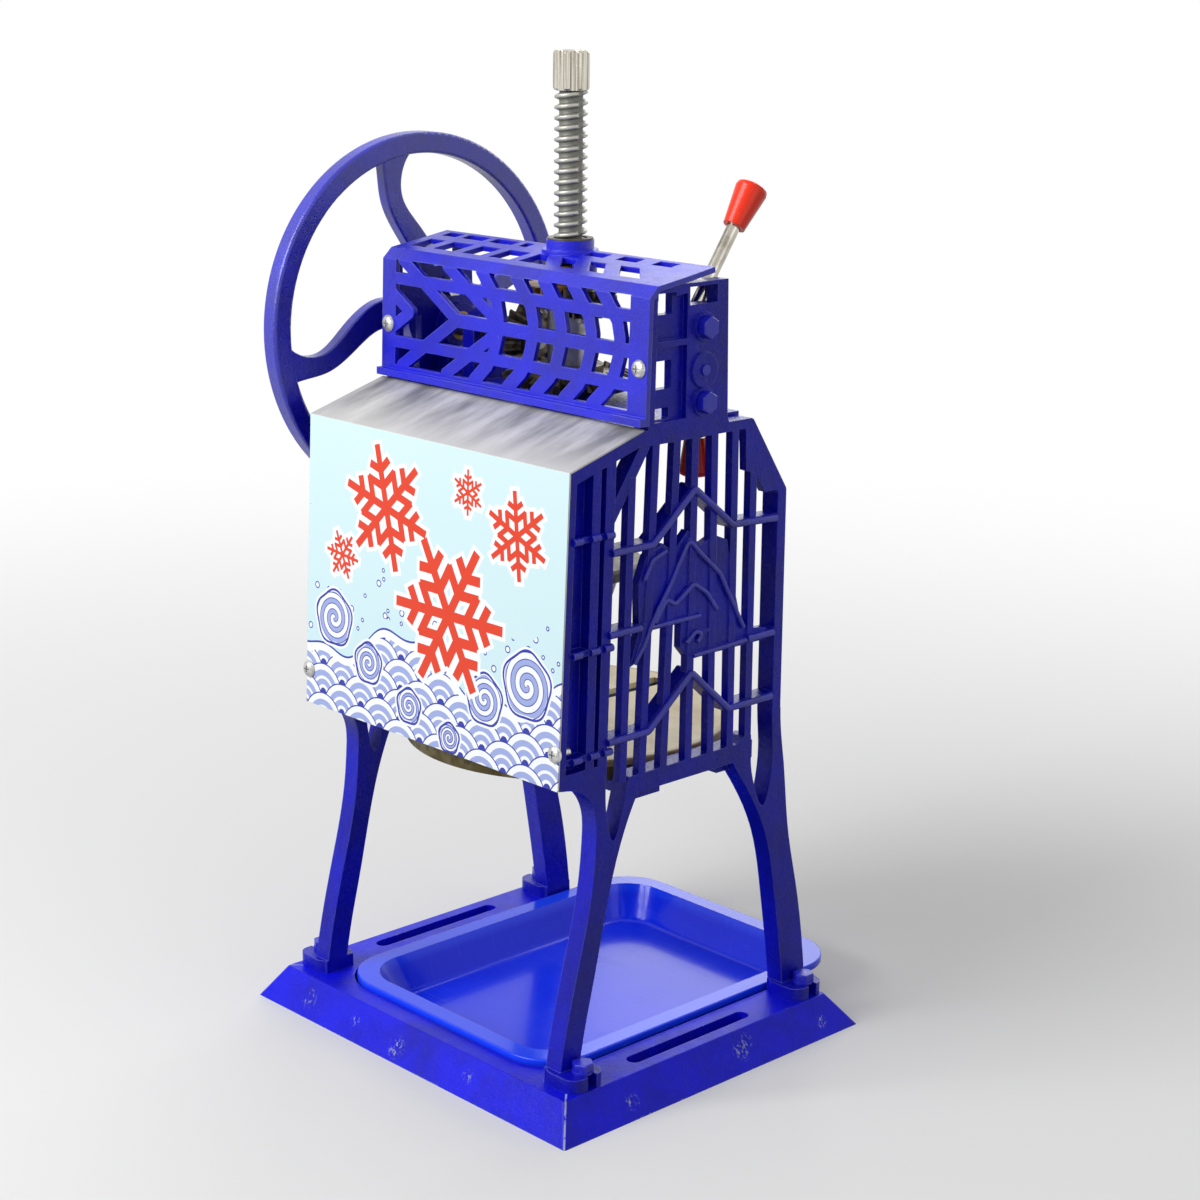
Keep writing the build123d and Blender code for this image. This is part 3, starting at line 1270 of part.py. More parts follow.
trip_knob_form = tapered_knob(trip_knob_length)
with BuildPart() as trip_knob:
    with Locations(Plane(origin=(trip_x, trip_y, trip_z - trip_knob_start), x_dir=(1, 0, 0),
                         z_dir=(0, 0, -1))):
        add(trip_knob_form)
finish(trip_knob, "trip_knob")

with BuildPart() as trip_pin:
    with BuildSketch(Plane.YZ.offset(trip_x - 12)):
        disc(trip_y, trip_z, 3.0)
    extrude(amount=24)
    for start in (trip_x - 12.5, trip_x + 10.1):
        with BuildSketch(Plane.YZ.offset(start)):
            disc(trip_y, trip_z, 4.4)
        extrude(amount=2.4)
finish(trip_pin, "trip_pin")
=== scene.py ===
import math

import bpy
from mathutils import Matrix, Vector


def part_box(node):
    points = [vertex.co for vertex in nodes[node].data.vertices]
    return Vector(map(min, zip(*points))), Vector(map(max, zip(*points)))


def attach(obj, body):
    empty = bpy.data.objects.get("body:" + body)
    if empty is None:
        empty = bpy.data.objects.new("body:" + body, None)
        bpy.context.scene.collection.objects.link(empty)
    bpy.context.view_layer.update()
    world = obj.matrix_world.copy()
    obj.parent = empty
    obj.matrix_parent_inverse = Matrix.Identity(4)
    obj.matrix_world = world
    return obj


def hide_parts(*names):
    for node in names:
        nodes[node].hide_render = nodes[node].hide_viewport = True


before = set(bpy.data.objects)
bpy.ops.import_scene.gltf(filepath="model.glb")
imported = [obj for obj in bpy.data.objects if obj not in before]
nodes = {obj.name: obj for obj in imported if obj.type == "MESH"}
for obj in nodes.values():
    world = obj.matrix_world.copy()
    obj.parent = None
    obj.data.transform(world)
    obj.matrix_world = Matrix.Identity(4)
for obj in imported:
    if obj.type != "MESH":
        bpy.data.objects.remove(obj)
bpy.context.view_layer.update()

# ---- Base casting
# A hollow grey-iron base with sloped sides, open to the rear for the tray. It is sprayed in satin ultramarine
# over the rough sand-cast skin, and the paint is rubbed and chipped along the edges that get knocked.


class Field:
    """A value that changes over a surface or a shape; arithmetic on it adds Math nodes to its graph."""

    def __init__(self, graph, socket):
        self.graph, self.socket = graph, socket

    def math(self, operation, *others):
        return self.graph.node("ShaderNodeMath", {"operation": operation}, [self, *others])

    def __add__(self, other):
        return self.math("ADD", other)

    def __sub__(self, other):
        return self.math("SUBTRACT", other)

    def __mul__(self, other):
        return self.math("MULTIPLY", other)

    def __truediv__(self, other):
        return self.math("DIVIDE", other)

    def __rsub__(self, other):
        return self.graph.node("ShaderNodeMath", {"operation": "SUBTRACT"}, [other, self])

    def __lt__(self, other):
        return self.math("LESS_THAN", other)

    def __gt__(self, other):
        return self.math("GREATER_THAN", other)

    def __abs__(self):
        return self.math("ABSOLUTE")

    __radd__, __rmul__ = __add__, __mul__

    def step(self, start, end):
        """0 below start, 1 above end and a straight rise between them."""
        return self.graph.node("ShaderNodeMapRange", {}, {"Value": self, "From Min": start, "From Max": end})


class Graph:
    """A tree of nodes, for a finish or for a shape."""

    def __init__(self, tree):
        self.tree = tree

    def node(self, kind, settings=None, inputs=None, output=0):
        """Adds a node: its settings first, then values or fields into its sockets."""
        made = self.tree.nodes.new(kind)
        for key, value in (settings or {}).items():
            if key == "stops":
                ramp = made.color_ramp
                ramp.interpolation = "CONSTANT"
                while len(ramp.elements) < len(value):
                    ramp.elements.new(1.0)
                for element, (place, colour) in zip(ramp.elements, value):
                    element.position, element.color = place, colour
            else:
                setattr(made, key, value)
        pairs = inputs.items() if isinstance(inputs, dict) else enumerate(inputs or [])
        for socket, value in pairs:
            if isinstance(value, Field):
                self.tree.links.new(value.socket, made.inputs[socket])
            else:
                made.inputs[socket].default_value = value
        return Field(self, made.outputs[output])

    def split(self, vector):
        """A vector as three separate fields."""
        parts = self.node("ShaderNodeSeparateXYZ", {}, [vector])
        return [Field(self, parts.socket.node.outputs[i]) for i in range(3)]


class Finish(Graph):
    """One surface finish: a Principled shader with constants, and nodes that feed what varies."""

    def __init__(self, name, **constants):
        self.material = bpy.data.materials.new(name)
        self.material.use_nodes = True
        super().__init__(self.material.node_tree)
        self.shader = self.tree.nodes["Principled BSDF"]
        for socket, value in constants.items():
            self.shader.inputs[socket.replace("_", " ")].default_value = value

    def place(self):
        """Object coordinates, in metres."""
        return self.node("ShaderNodeTexCoord", output="Object")

    def noise(self, vector, scale, detail=2.0, roughness=0.5):
        return self.node("ShaderNodeTexNoise", {}, {"Vector": vector, "Scale": scale, "Detail": detail,
                                                     "Roughness": roughness}, "Fac")

    def stretched(self, vector, scale, turn=(0.0, 0.0, 0.0)):
        """The same coordinates turned and scaled unevenly, for streaks."""
        return self.node("ShaderNodeMapping", {}, {"Vector": vector, "Rotation": turn, "Scale": scale})

    def blend(self, first, second, amount):
        """One colour over another."""
        return self.node("ShaderNodeMix", {"data_type": "RGBA"}, {0: amount, 6: first, 7: second}, 2)

    def bump(self, height, depth, strength=1.0, round_edges=0.0):
        """A bump of a depth in metres, with corners softened to a radius where one is given."""
        inputs = {"Strength": strength, "Distance": depth, "Height": height}
        if round_edges:
            inputs["Normal"] = self.node("ShaderNodeBevel", {"samples": 6}, {"Radius": round_edges})
        return self.node("ShaderNodeBump", {}, inputs)

    def edges(self, reach):
        """1 on sharp edges and 0 on flat faces, from how far a softened corner turns the surface."""
        soft = self.node("ShaderNodeBevel", {"samples": 6}, {"Radius": reach})
        flat = self.node("ShaderNodeNewGeometry", output="Normal")
        alike = self.node("ShaderNodeVectorMath", {"operation": "DOT_PRODUCT"}, [soft, flat], "Value")
        return (1.0 - alike).step(0.05, 0.16)

    def drive(self, **fields):
        for socket, field in fields.items():
            self.tree.links.new(field.socket, self.shader.inputs[socket.replace("_", " ")])

    def coat(self, *names):
        """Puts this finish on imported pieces."""
        for name in names:
            slots = nodes[name].data.materials
            slots.clear()
            slots.append(self.material)


def ink(*screen_colour):
    """A colour for a shader, from its red, green and blue on screen, 0 to 255."""
    parts = [part / 255 for part in screen_colour]
    return (*(part / 12.92 if part <= 0.04 else ((part + 0.055) / 1.055) ** 2.4 for part in parts), 1.0)


def cast_paint(name, chips_from, knocked, dull, shine, blue=206, rubbed_line=None):
    """Satin paint over a sand-cast skin.

    knocked masks where chips may lie, chips_from is higher for fewer of them, and rubbed_line is a bare edge.
    """
    thin_wear_and_edge_highlight, bare_metal = ink(104, 110, 226), ink(170, 175, 206)
    skin_depth, corner_radius = 0.0006, 0.0009
    finish = Finish(name, IOR=1.5, Specular_IOR_Level=shine, Coat_Roughness=0.30)
    vector = finish.place()
    skin = finish.noise(vector, 640.0, 4.0, 0.62)
    swell = finish.noise(vector, 75.0, 2.0)
    rub = finish.noise(vector, 24.0, 4.0, 0.65)
    speck = finish.noise(vector, 420.0, 2.0, 0.7)
    tone = finish.blend(ink(11, 14, blue), ink(10, 10, blue - 42), rub.step(0.40, 0.70))
    tone = finish.blend(tone, ink(40, 44, blue), speck.step(0.60, 0.74) * 0.35)
    # sharp edges get a lighter blue: partly paint worn thin, partly a painted highlight where the edges catch
    # the light
    tone = finish.blend(tone, thin_wear_and_edge_highlight, finish.edges(0.0013) * rub.step(0.34, 0.60) * 0.7)
    scraped = finish.stretched(vector, (1.0, 1.0, 0.35), (0.5, 0.5, 0.0))
    chips = finish.noise(scraped, 460.0, 5.0, 0.75).step(chips_from, chips_from + 0.02)
    chips = chips * knocked(finish, vector)
    if rubbed_line is not None:
        chips = chips.math("MAXIMUM", rubbed_line(finish, vector) * 0.8)
    height = skin * 0.8 + swell * 1.2 - chips * 0.5
    finish.drive(Base_Color=finish.blend(tone, bare_metal, chips),
                 Roughness=dull + swell * 0.14 + chips * 0.2,
                 Coat_Weight=(1.0 - chips) * (shine * 0.3),
                 Normal=finish.bump(height, skin_depth, 0.8, corner_radius))
    return finish


# dents in the sloped skirt: place and radius, in metres
skirt_dents = (((0.157, -0.086, 0.010), 0.007), ((0.155, 0.020, 0.012), 0.009),
               ((0.152, 0.028, 0.016), 0.006), ((-0.112, -0.146, 0.012), 0.008),
               ((-0.012, -0.147, 0.009), 0.009), ((0.060, -0.146, 0.013), 0.006),
               ((0.157, 0.100, 0.009), 0.006), ((-0.060, -0.147, 0.014), 0.006))
# the skirt's front corners run where |x| + y is corner_sum, and begin where |x| - y is corner_start
corner_sum, corner_start, corner_rub = 0.0110, 0.270, 0.0009


def knocked_rim(finish, vector):
    """The base's sharp edges and a few dents in its skirt, where it was dragged and bumped."""
    worn = finish.edges(0.0016) * finish.noise(vector, 30.0, 2.0).step(0.50, 0.58)
    for place, radius in skirt_dents:
        away = finish.node("ShaderNodeVectorMath", {"operation": "DISTANCE"}, [vector, place], "Value")
        worn = worn + (1.0 - away.step(radius * 0.2, radius))
    return worn.math("MINIMUM", 1.0)


def rubbed_corner(finish, vector):
    """The two sloping front corners of the skirt, rubbed to the metal in a thin broken line."""
    x, y = finish.split(vector)[:2]
    broken = finish.noise(vector, 160.0, 3.0, 0.6).step(0.36, 0.44)
    return (abs(abs(x) + y - corner_sum) < corner_rub) * (abs(x) - y > corner_start) * broken


base_paint = cast_paint("base_paint", 0.555, knocked_rim, 0.30, 0.18, 222, rubbed_corner)
base_paint.coat("base_frame")

# ---- Drip tray
# A moulded plastic tray in a brighter blue, with a broad rolled rim. It stands loose on the table inside the
# base, slides out at the back, and carries fine scratches from bowls, and nicks along its rim.
rim_underside, rim_top = 0.0200, 0.0255
tray_gloss = Finish("tray_gloss", IOR=1.49, Specular_IOR_Level=0.20, Coat_Roughness=0.06)
vector = tray_gloss.place()
height = tray_gloss.split(vector)[2]
long_scratch = tray_gloss.noise(tray_gloss.stretched(vector, (18.0, 420.0, 60.0)), 1.0, 3.0, 0.6)
cross_scratch = tray_gloss.noise(tray_gloss.stretched(vector, (380.0, 24.0, 60.0)), 1.0, 3.0, 0.6)
cloud = tray_gloss.noise(vector, 14.0, 3.0)
scratched = long_scratch.step(0.60, 0.66) * 0.5 + cross_scratch.step(0.62, 0.67) * 0.5
on_rim = height.step(rim_underside, rim_top)
rim_nicks = tray_gloss.noise(vector, 190.0, 4.0, 0.75).step(0.70, 0.72) * (height > rim_top)
# the rim is painted a lighter blue as a painted highlight; the cloud mixes in a random tone
tray_blue = tray_gloss.blend(ink(8, 38, 224), ink(24, 70, 250), on_rim * 0.7 + cloud * 0.3)
tray_blue = tray_gloss.blend(tray_blue, ink(92, 122, 238), scratched * 0.14 + rim_nicks * 0.5)
tray_gloss.drive(Base_Color=tray_blue, Roughness=0.14 + cloud * 0.06 + scratched * 0.10 + rim_nicks * 0.2,
                 Coat_Weight=0.10 + on_rim * 0.22 - scratched * 0.08,
                 Normal=tray_gloss.bump(cloud * 0.6 - scratched * 0.15, 0.0004, 0.3, 0.0006))
tray_gloss.coat("tray")

# ---- Side frames
# Two mirrored iron castings, each a grille, a head plate and two forked legs in one. They are painted with
# the base, in a darker blue that is painted shade, a little rubbed on the feet and the outer ribs, and
# bolted down through slotted feet. A plain bridge in the same paint ties their head plates together.
rib_face = 0.1300
foot_top, ankle = 0.028, 0.036


def rubbed_ribs(finish, vector):
    """Small chips on the outermost faces and the feet."""
    x, _, z = finish.split(vector)
    outside = abs(x) > rib_face - 0.0015
    foot = 1.0 - z.step(foot_top, ankle)
    return outside * (finish.noise(vector, 22.0, 2.0).step(0.62, 0.68) + foot) * 0.7


# the frames and the bridge take a darker blue than the base: painted shade, not a different paint
frame_paint = cast_paint("frame_paint", 0.68, rubbed_ribs, 0.19, 0.20, 186)
frame_paint.coat("side_frame_right", "side_frame_left", "head_bridge")


class Shape(Graph):
    """A rule for a shape, with counts and sizes by name, that is run once and leaves a plain mesh."""

    def __init__(self, name, counts, lengths):
        self.name, self.sizes = name, {**counts, **lengths}
        super().__init__(bpy.data.node_groups.new(name, "GeometryNodeTree"))
        self.tree.interface.new_socket("Geometry", in_out="OUTPUT", socket_type="NodeSocketGeometry")
        self.tree.interface.new_socket("Geometry", in_out="INPUT", socket_type="NodeSocketGeometry")
        for label in self.sizes:
            kind = "NodeSocketInt" if label in counts else "NodeSocketFloat"
            self.tree.interface.new_socket(label, in_out="INPUT", socket_type=kind)
        self.given = self.tree.nodes.new("NodeGroupInput")

    def size(self, label):
        return Field(self, self.given.outputs[label])

    def made(self, geometry, material, paths=()):
        """Runs the rule, along paths if it has any, and leaves the result on a new object at the origin."""
        real = self.node("GeometryNodeRealizeInstances", {}, [geometry])
        clad = self.node("GeometryNodeSetMaterial", {}, {"Geometry": real, "Material": material})
        self.tree.links.new(clad.socket, self.tree.nodes.new("NodeGroupOutput").inputs[0])
        points = [point for path in paths for point in path]
        firsts = [sum(map(len, paths[:index])) for index in range(len(paths))]
        edges = [(point, point + 1) for first, path in zip(firsts, paths)
                 for point in range(first, first + len(path) - 1)]
        start = bpy.data.meshes.new(self.name)
        start.from_pydata(points, edges, [])
        piece = bpy.data.objects.new(self.name, start)
        bpy.context.scene.collection.objects.link(piece)
        rule = piece.modifiers.new("rule", "NODES")
        rule.node_group = self.tree
        for item in self.tree.interface.items_tree:
            if item.in_out == "INPUT" and item.name in self.sizes:
                rule[item.identifier] = self.sizes[item.name]
        ready = piece.evaluated_get(bpy.context.evaluated_depsgraph_get())
        data = bpy.data.meshes.new_from_object(ready)
        piece.modifiers.remove(rule)
        piece.data = data
        return piece


# ---- Raised beads
# The rungs, the chevrons and the lines of the mountain relief stand proud of the grille's bars as round
# beads, cast in one with each side frame. They run on over the bars, so each crossing catches the light.
bead_middle = rib_face + 0.0002
# each line is a row of points, in millimetres to the rear and up
upper_chevron = [(-84, 374), (-48, 374), (-11, 405), (25, 376), (67, 374)]
lower_chevron = [(-86, 250), (-50, 250), (-11, 282), (25, 250), (67, 250)]
middle_rungs = [[(-86, 321), (-58, 321)], [(42, 295), (67, 295)]]
bar_width = 7
front_rungs = [[(bar, height), (bar + bar_width, height)]
               for height in (386, 313, 244) for bar in (-117, -102, -90)]

snow_line = [(-45, 322), (-35, 336), (-27, 331), (-10, 342), (2, 334), (12, 321)]
peak = [(-31, 346), (-24, 358), (-15, 372), (-5, 362), (14, 345), (38, 304)]
brook = [(-16, 303), (-8, 309), (4, 308), (-6, 302)]
left_bank, right_bank = [(-48, 319.5), (-4, 319.5)], [(-9, 293), (60, 295)]
left_shoulder = [(-55, 352), (-48, 364), (-36, 368)]
left_ridge = [(-31, 346), (-44, 328), (-55, 308), (-63, 298)]

# the beads take a slightly lighter blue than the frames as a painted highlight, and more shine
bead_paint = cast_paint("bead_paint", 0.68, rubbed_ribs, 0.20, 0.50, 190)


def bead(name, radius, lines):
    """Round beads along lines on the outer faces of both side frames."""
    rule = Shape(name, {"Sides": 10}, {"Bead radius": radius, "Corner radius": 0.0030})
    line = rule.node("GeometryNodeMeshToCurve", {}, [Field(rule, rule.given.outputs["Geometry"])])
    soft = rule.node("GeometryNodeFilletCurve", {"mode": "POLY"},
                     {"Curve": line, "Radius": rule.size("Corner radius"), "Count": 3, "Limit Radius": True})
    ring = rule.node("GeometryNodeCurvePrimitiveCircle", {},
                     {"Resolution": rule.size("Sides"), "Radius": rule.size("Bead radius")})
    tube = rule.node("GeometryNodeCurveToMesh", {}, {"Curve": soft, "Profile Curve": ring, "Fill Caps": True})
    rounded = rule.node("GeometryNodeSetShadeSmooth", {}, [tube])
    paths = [[(side * bead_middle, rearward / 1000, height / 1000) for rearward, height in points]
             for side in (1, -1) for points in lines]
    piece = rule.made(rounded, bead_paint.material, paths)
    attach(piece, "frame")


bead("grille_beads", 0.0026, [upper_chevron, lower_chevron, *middle_rungs, *front_rungs])
bead("relief_beads", 0.0017, [snow_line, peak, brook, left_bank, right_bank, left_shoulder, left_ridge])

# ---- Foot bolts and washers
# Zinc-plated hexagon bolts on plain washers hold the four feet, and others hold the bridge in the head
# plates. The paint was sprayed over them and the bearing plug, so metal shows only where a spanner bit.
overspray = Finish("overspray", IOR=1.5, Specular_IOR_Level=0.55)
vector = overspray.place()
spanner_bite = overspray.noise(vector, 300.0, 3.0, 0.7).step(0.68, 0.72)
mottle = overspray.noise(vector, 900.0, 2.0)
sprayed = overspray.blend(ink(18, 22, 168), ink(34, 38, 214), mottle)
overspray.drive(Base_Color=overspray.blend(sprayed, ink(150, 154, 170), spanner_bite),
                Metallic=spanner_bite * 0.9, Roughness=0.30 + mottle * 0.10,
                Normal=overspray.bump(mottle, 0.0002, 0.5, 0.0004))
overspray.coat("foot_bolts", "foot_washers", "head_bolts", "bearing_plug")

# ---- Front panel
# One sheet of steel folded back at the top. Its face carries a printed design of round curls, a scale
# pattern and red snow crystals on pale blue, laid out in millimetres from the middle of its lower edge. The
# sloping top is bare, brushed from side to side and smeared, with dark streaks towards the cover that are
# painted shade and reflection.
print_foot, print_height, print_front, print_lean = 226.7, 203.4, -128.9, 0.04273
sky_height, off_to_the_left = 203.0, 300.0
panel_print = Finish("panel_print", IOR=1.5, Specular_IOR_Level=0.4)
vector = panel_print.place()
x, y, z = panel_print.split(vector)
across = x * 1000.0
up = z * 1000.0 - print_foot
behind_face = y * 1000.0 - print_front - up * print_lean
printed = (behind_face < 0.6) * (up < print_height)
deep, periwinkle, foam = ink(40, 54, 168), ink(160, 174, 226), ink(247, 250, 253)


def length_of(first, second):
    """The length of two fields at right angles."""
    return (first * first + second * second).math("SQRT")


scale_radius = 21.0
row_pitch = scale_radius / 2


def to_scale_centre(row):
    """Distance to the nearest scale's centre in a row; every second row is shifted by half a scale."""
    shift = row.math("FLOORED_MODULO", 2.0) * scale_radius
    from_the_left = across + off_to_the_left - shift + scale_radius
    sideways = from_the_left.math("FLOORED_MODULO", 2 * scale_radius) - scale_radius
    return length_of(sideways, up - row * row_pitch)


# three rows of overlapping scales can reach a point; the lowest row that covers it lies in front
highest_row = (up / row_pitch).math("FLOOR") + 1.0
from_centre = to_scale_centre(highest_row)
for rows_down in (1.0, 2.0):
    lower = to_scale_centre(highest_row - rows_down)
    covers = lower < scale_radius
    from_centre = covers * lower + (1.0 - covers) * from_centre
scale_rings = [(0.0, deep), (0.16, foam), (0.27, periwinkle), (0.46, foam), (0.56, periwinkle), (0.76, foam),
               (0.955, deep)]
scales = panel_print.node("ShaderNodeValToRGB", {"stops": scale_rings}, [from_centre / scale_radius], "Color")

# the top of the sea: two gentle swells, edged by a foam line and a dark line
swell_top = 56.0 + (across * 0.036 + 2.3).math("SINE") * 15.0 + (across * 0.105 + 0.6).math("SINE") * 5.0
above = up - swell_top
sky = panel_print.blend(ink(205, 234, 241), ink(214, 240, 244), up / sky_height)
sea = panel_print.blend(sky, scales, above < 0.0)
sea = panel_print.blend(sea, foam, abs(above + 3.0) < 3.0)
sea = panel_print.blend(sea, deep, abs(above) < 0.7)

# drops of spray over the sea, as rings of two sizes, each kind on a jittered grid
line_half_width = 0.4
for spacing, radius, shift in ((19.0, 2.1, 5.0), (13.0, 1.2, 11.0)):
    from_the_left, from_the_foot = across + off_to_the_left + shift, up + shift
    column = (from_the_left / spacing).math("FLOOR")
    row = (from_the_foot / spacing).math("FLOOR")
    jitter_across = (column * 12.9 + row * 7.7 + shift).math("SINE") * (spacing * 0.3)
    jitter_up = (column * 5.3 + row * 9.1 + shift).math("SINE") * (spacing * 0.3)
    drop = length_of(from_the_left.math("FLOORED_MODULO", spacing) - spacing / 2 - jitter_across,
                     from_the_foot.math("FLOORED_MODULO", spacing) - spacing / 2 - jitter_up)
    spray = (above > 7.0) * (above < 46.0) * ((column * 3.7 + row * 5.9).math("SINE") > -0.25)
    sea = panel_print.blend(sea, foam, (drop < radius) * spray)
    sea = panel_print.blend(sea, deep, (abs(drop - radius) < line_half_width) * spray)


def polar(centre_across, centre_up, hand=1.0):
    """Distance and angle from a centre on the print; a hand of -1 mirrors the angle."""
    sideways, rise = (across - centre_across) * hand, up - centre_up
    return length_of(sideways, rise), rise.math("ARCTAN2", sideways)


def curl(sea, centre_across, centre_up, radius, hand, start):
    """A round curl of water: a foam disc with a band wound into its middle."""
    away, angle = polar(centre_across, centre_up, hand)
    turns = angle / (2 * math.pi)
    wound = (away / (radius * 0.40) - turns + start).math("FLOORED_MODULO", 1.0)
    ripple = radius * (1.0 + (turns * 10 * math.pi).math("SINE") * 0.05)
    from_band_edge = abs(abs(wound - 0.5) - 0.24)
    sea = panel_print.blend(sea, foam, away < ripple + 2.4)
    sea = panel_print.blend(sea, periwinkle, (away < ripple - 1.5) * (abs(wound - 0.5) < 0.24))
    sea = panel_print.blend(sea, deep, (away < ripple) * (from_band_edge < 0.8 / radius))
    return panel_print.blend(sea, deep, abs(away - ripple) < 0.8)


for place in ((-100.0, 66.0, 19.0, 1.0, 0.2), (-62.0, 42.0, 14.0, 1.0, 0.6), (-18.0, 22.0, 12.0, -1.0, 0.1),
              (58.0, 44.0, 17.0, -1.0, 0.4), (98.0, 62.0, 22.0, -1.0, 0.0), (24.0, 10.0, 10.0, 1.0, 0.8)):
    sea = curl(sea, *place)


def crystal(centre_across, centre_up, arm, turn):
    """Distance in millimetres outside a six-armed snow crystal, with two pairs of twigs on each arm."""
    away, angle = polar(centre_across, centre_up)
    sixth = math.pi / 3
    folded = (angle + (turn + 6 * math.pi + sixth / 2)).math("FLOORED_MODULO", sixth) - sixth / 2
    along = away * folded.math("COSINE")
    aside = abs(away * folded.math("SINE"))
    outside = aside.math("MAXIMUM", along - arm)
    for root, twig in ((0.36, 0.34), (0.64, 0.22)):
        lead = along - root * arm
        run = lead * 0.5 + aside * 0.866
        past_ends = (run - twig * arm).math("MAXIMUM", 0.0 - run)
        outside = outside.math("MINIMUM", abs(lead * 0.866 - aside * 0.5).math("MAXIMUM", past_ends))
    hub = away - arm * 0.13
    return (outside - arm * 0.068).math("MINIMUM", hub)


flakes = crystal(-46.0, 152.0, 40.0, 0.26)
for place in ((20.0, 92.0, 50.0, 0.0), (84.0, 156.0, 27.0, 0.40), (-92.0, 112.0, 16.0, 0.1),
              (36.0, 176.0, 14.0, 0.5)):
    flakes = flakes.math("MINIMUM", crystal(*place))
art = panel_print.blend(sea, foam, flakes < 2.8)
art = panel_print.blend(art, ink(226, 62, 30), flakes < 0.0)

# the print is worn along the two upright edges, and the bare top has dark streaks towards the cover, painted
# shade and reflection
edge_strip, shelf_front, shelf_depth = 0.124, -0.130, 0.060
fleck = panel_print.noise(vector, 240.0, 3.0, 0.7)
art = panel_print.blend(art, ink(150, 152, 158), fleck.step(0.70, 0.73) * (abs(x) > edge_strip))
brushing = panel_print.noise(panel_print.stretched(vector, (6.0, 1500.0, 1500.0)), 1.0, 3.0, 0.7)
smears_and_reflection = panel_print.noise(panel_print.stretched(vector, (34.0, 9.0, 9.0), (0.0, 0.0, 0.75)), 1.0, 5.0, 0.55)
bare_sheet = panel_print.blend(ink(212, 210, 204), ink(228, 227, 222), brushing)
shade_towards_cover = (y - shelf_front).step(0.0, shelf_depth)
# dark streaks growing towards the cover: painted shade and reflection of the cover
bare_sheet = panel_print.blend(bare_sheet, ink(104, 104, 108), smears_and_reflection.step(0.38, 0.58) * shade_towards_cover * 0.85)
bare = 1.0 - printed
panel_print.drive(Base_Color=panel_print.blend(bare_sheet, art, printed), Metallic=bare * 0.35,
                  Roughness=printed * (0.30 + fleck * 0.06) + bare * (0.36 + brushing * 0.14 + smears_and_reflection * 0.12),
                  Normal=panel_print.bump(brushing * bare + smears_and_reflection * 0.5, 0.00006, 0.6, 0.0005))
panel_print.coat("front_panel")

# ---- Truss screws
# Zinc-plated cross-head screws with domed heads hold the panel and the cover, and their plating has a dull
# haze. Hidden screws, nuts and pins under the ice table and on the shafts are plated alike.
zinc = Finish("zinc", Metallic=1.0)
vector = zinc.place()
haze = zinc.noise(vector, 420.0, 3.0, 0.6)
zinc.drive(Base_Color=zinc.blend(ink(206, 206, 204), ink(150, 150, 152), haze.step(0.42, 0.70)),
           Roughness=0.26 + haze * 0.2, Normal=zinc.bump(haze, 0.00015, 0.5, 0.0003))
zinc.coat("panel_screws", "cover_screws", "head_nuts", "wheel_nut", "pin_nut", "sleeve_nut", "table_screws",
          "clamp_screws", "bed_screws", "gripper_bolt", "trip_pin")

# ---- Lattice cover
# A thin pierced casting bent over the gears, painted blue like the frames and held by two screws. Its bars
# have soft cast edges. A ring of grey iron lines its collar, and the ice gripper and the blade's bed are of
# the same iron.
cover_top, bar_fronts = 0.5395, -0.0555


def cover_crest(finish, vector):
    """The cover's top and the front of its bars."""
    y, z = finish.split(vector)[1:]
    return (z > cover_top) + (y < bar_fronts) * 0.7


cover_paint = cast_paint("cover_paint", 0.70, cover_crest, 0.26, 0.50)
cover_paint.coat("lattice_cover")

grey_iron = Finish("grey_iron", Metallic=0.85)
vector = grey_iron.place()
grain = grey_iron.noise(vector, 700.0, 3.0, 0.65)
stain = grey_iron.noise(vector, 45.0, 4.0, 0.65)
grey_iron.drive(Base_Color=grey_iron.blend(ink(122, 120, 112), ink(84, 78, 68), stain.step(0.40, 0.68)),
                Roughness=0.42 + stain * 0.22, Normal=grey_iron.bump(grain + stain, 0.0003, 0.5, 0.0005))
grey_iron.coat("cover_collar", "gripper_plate", "blade_bed")

# ---- Bearings
# Bronze bushes are pressed into the bridge, its pedestal and the left head plate. They are darkened by oil
# and bright in patches; the feed nut is of the same bronze.
bronze = Finish("bronze", Metallic=1.0)
vector = bronze.place()
tarnish = bronze.noise(vector, 90.0, 4.0, 0.6)
bronze.drive(Base_Color=bronze.blend(ink(160, 128, 82), ink(92, 72, 48), tarnish.step(0.38, 0.70)),
             Roughness=0.34 + tarnish * 0.25, Normal=bronze.bump(tarnish, 0.0002, 0.4, 0.0004))
bronze.coat("spindle_bush", "shaft_bushes", "feed_nut")

# ---- Ice table
# A round plate with a worn cream coating on a dark backing plate, with a radial mouth for the blade. The
# coating is rubbed in circles by the turning ice and turns darker brown towards the rim.
brown_from, brown_to = 0.1085, 0.1145
table_cream = Finish("table_cream", IOR=1.5)
vector = table_cream.place()
x, y = table_cream.split(vector)[:2]
from_centre = length_of(x, y)
outwards = table_cream.node("ShaderNodeCombineXYZ", {}, [from_centre * 900.0, 0.0, 0.0])
rings = table_cream.noise(outwards, 1.0, 3.0, 0.6)
blotch = table_cream.noise(vector, 28.0, 4.0, 0.6)
cream = table_cream.blend(ink(246, 228, 172), ink(222, 198, 138), blotch.step(0.40, 0.72))
cream = table_cream.blend(cream, ink(186, 156, 100), rings.step(0.55, 0.75) * 0.35)
cream = table_cream.blend(cream, ink(140, 108, 58), from_centre.step(brown_from, brown_to) * 0.8)
table_cream.drive(Base_Color=cream, Roughness=0.34 + blotch * 0.2,
                  Normal=table_cream.bump(rings * 0.5 + blotch, 0.0002, 0.4, 0.0006))
table_cream.coat("table_top")

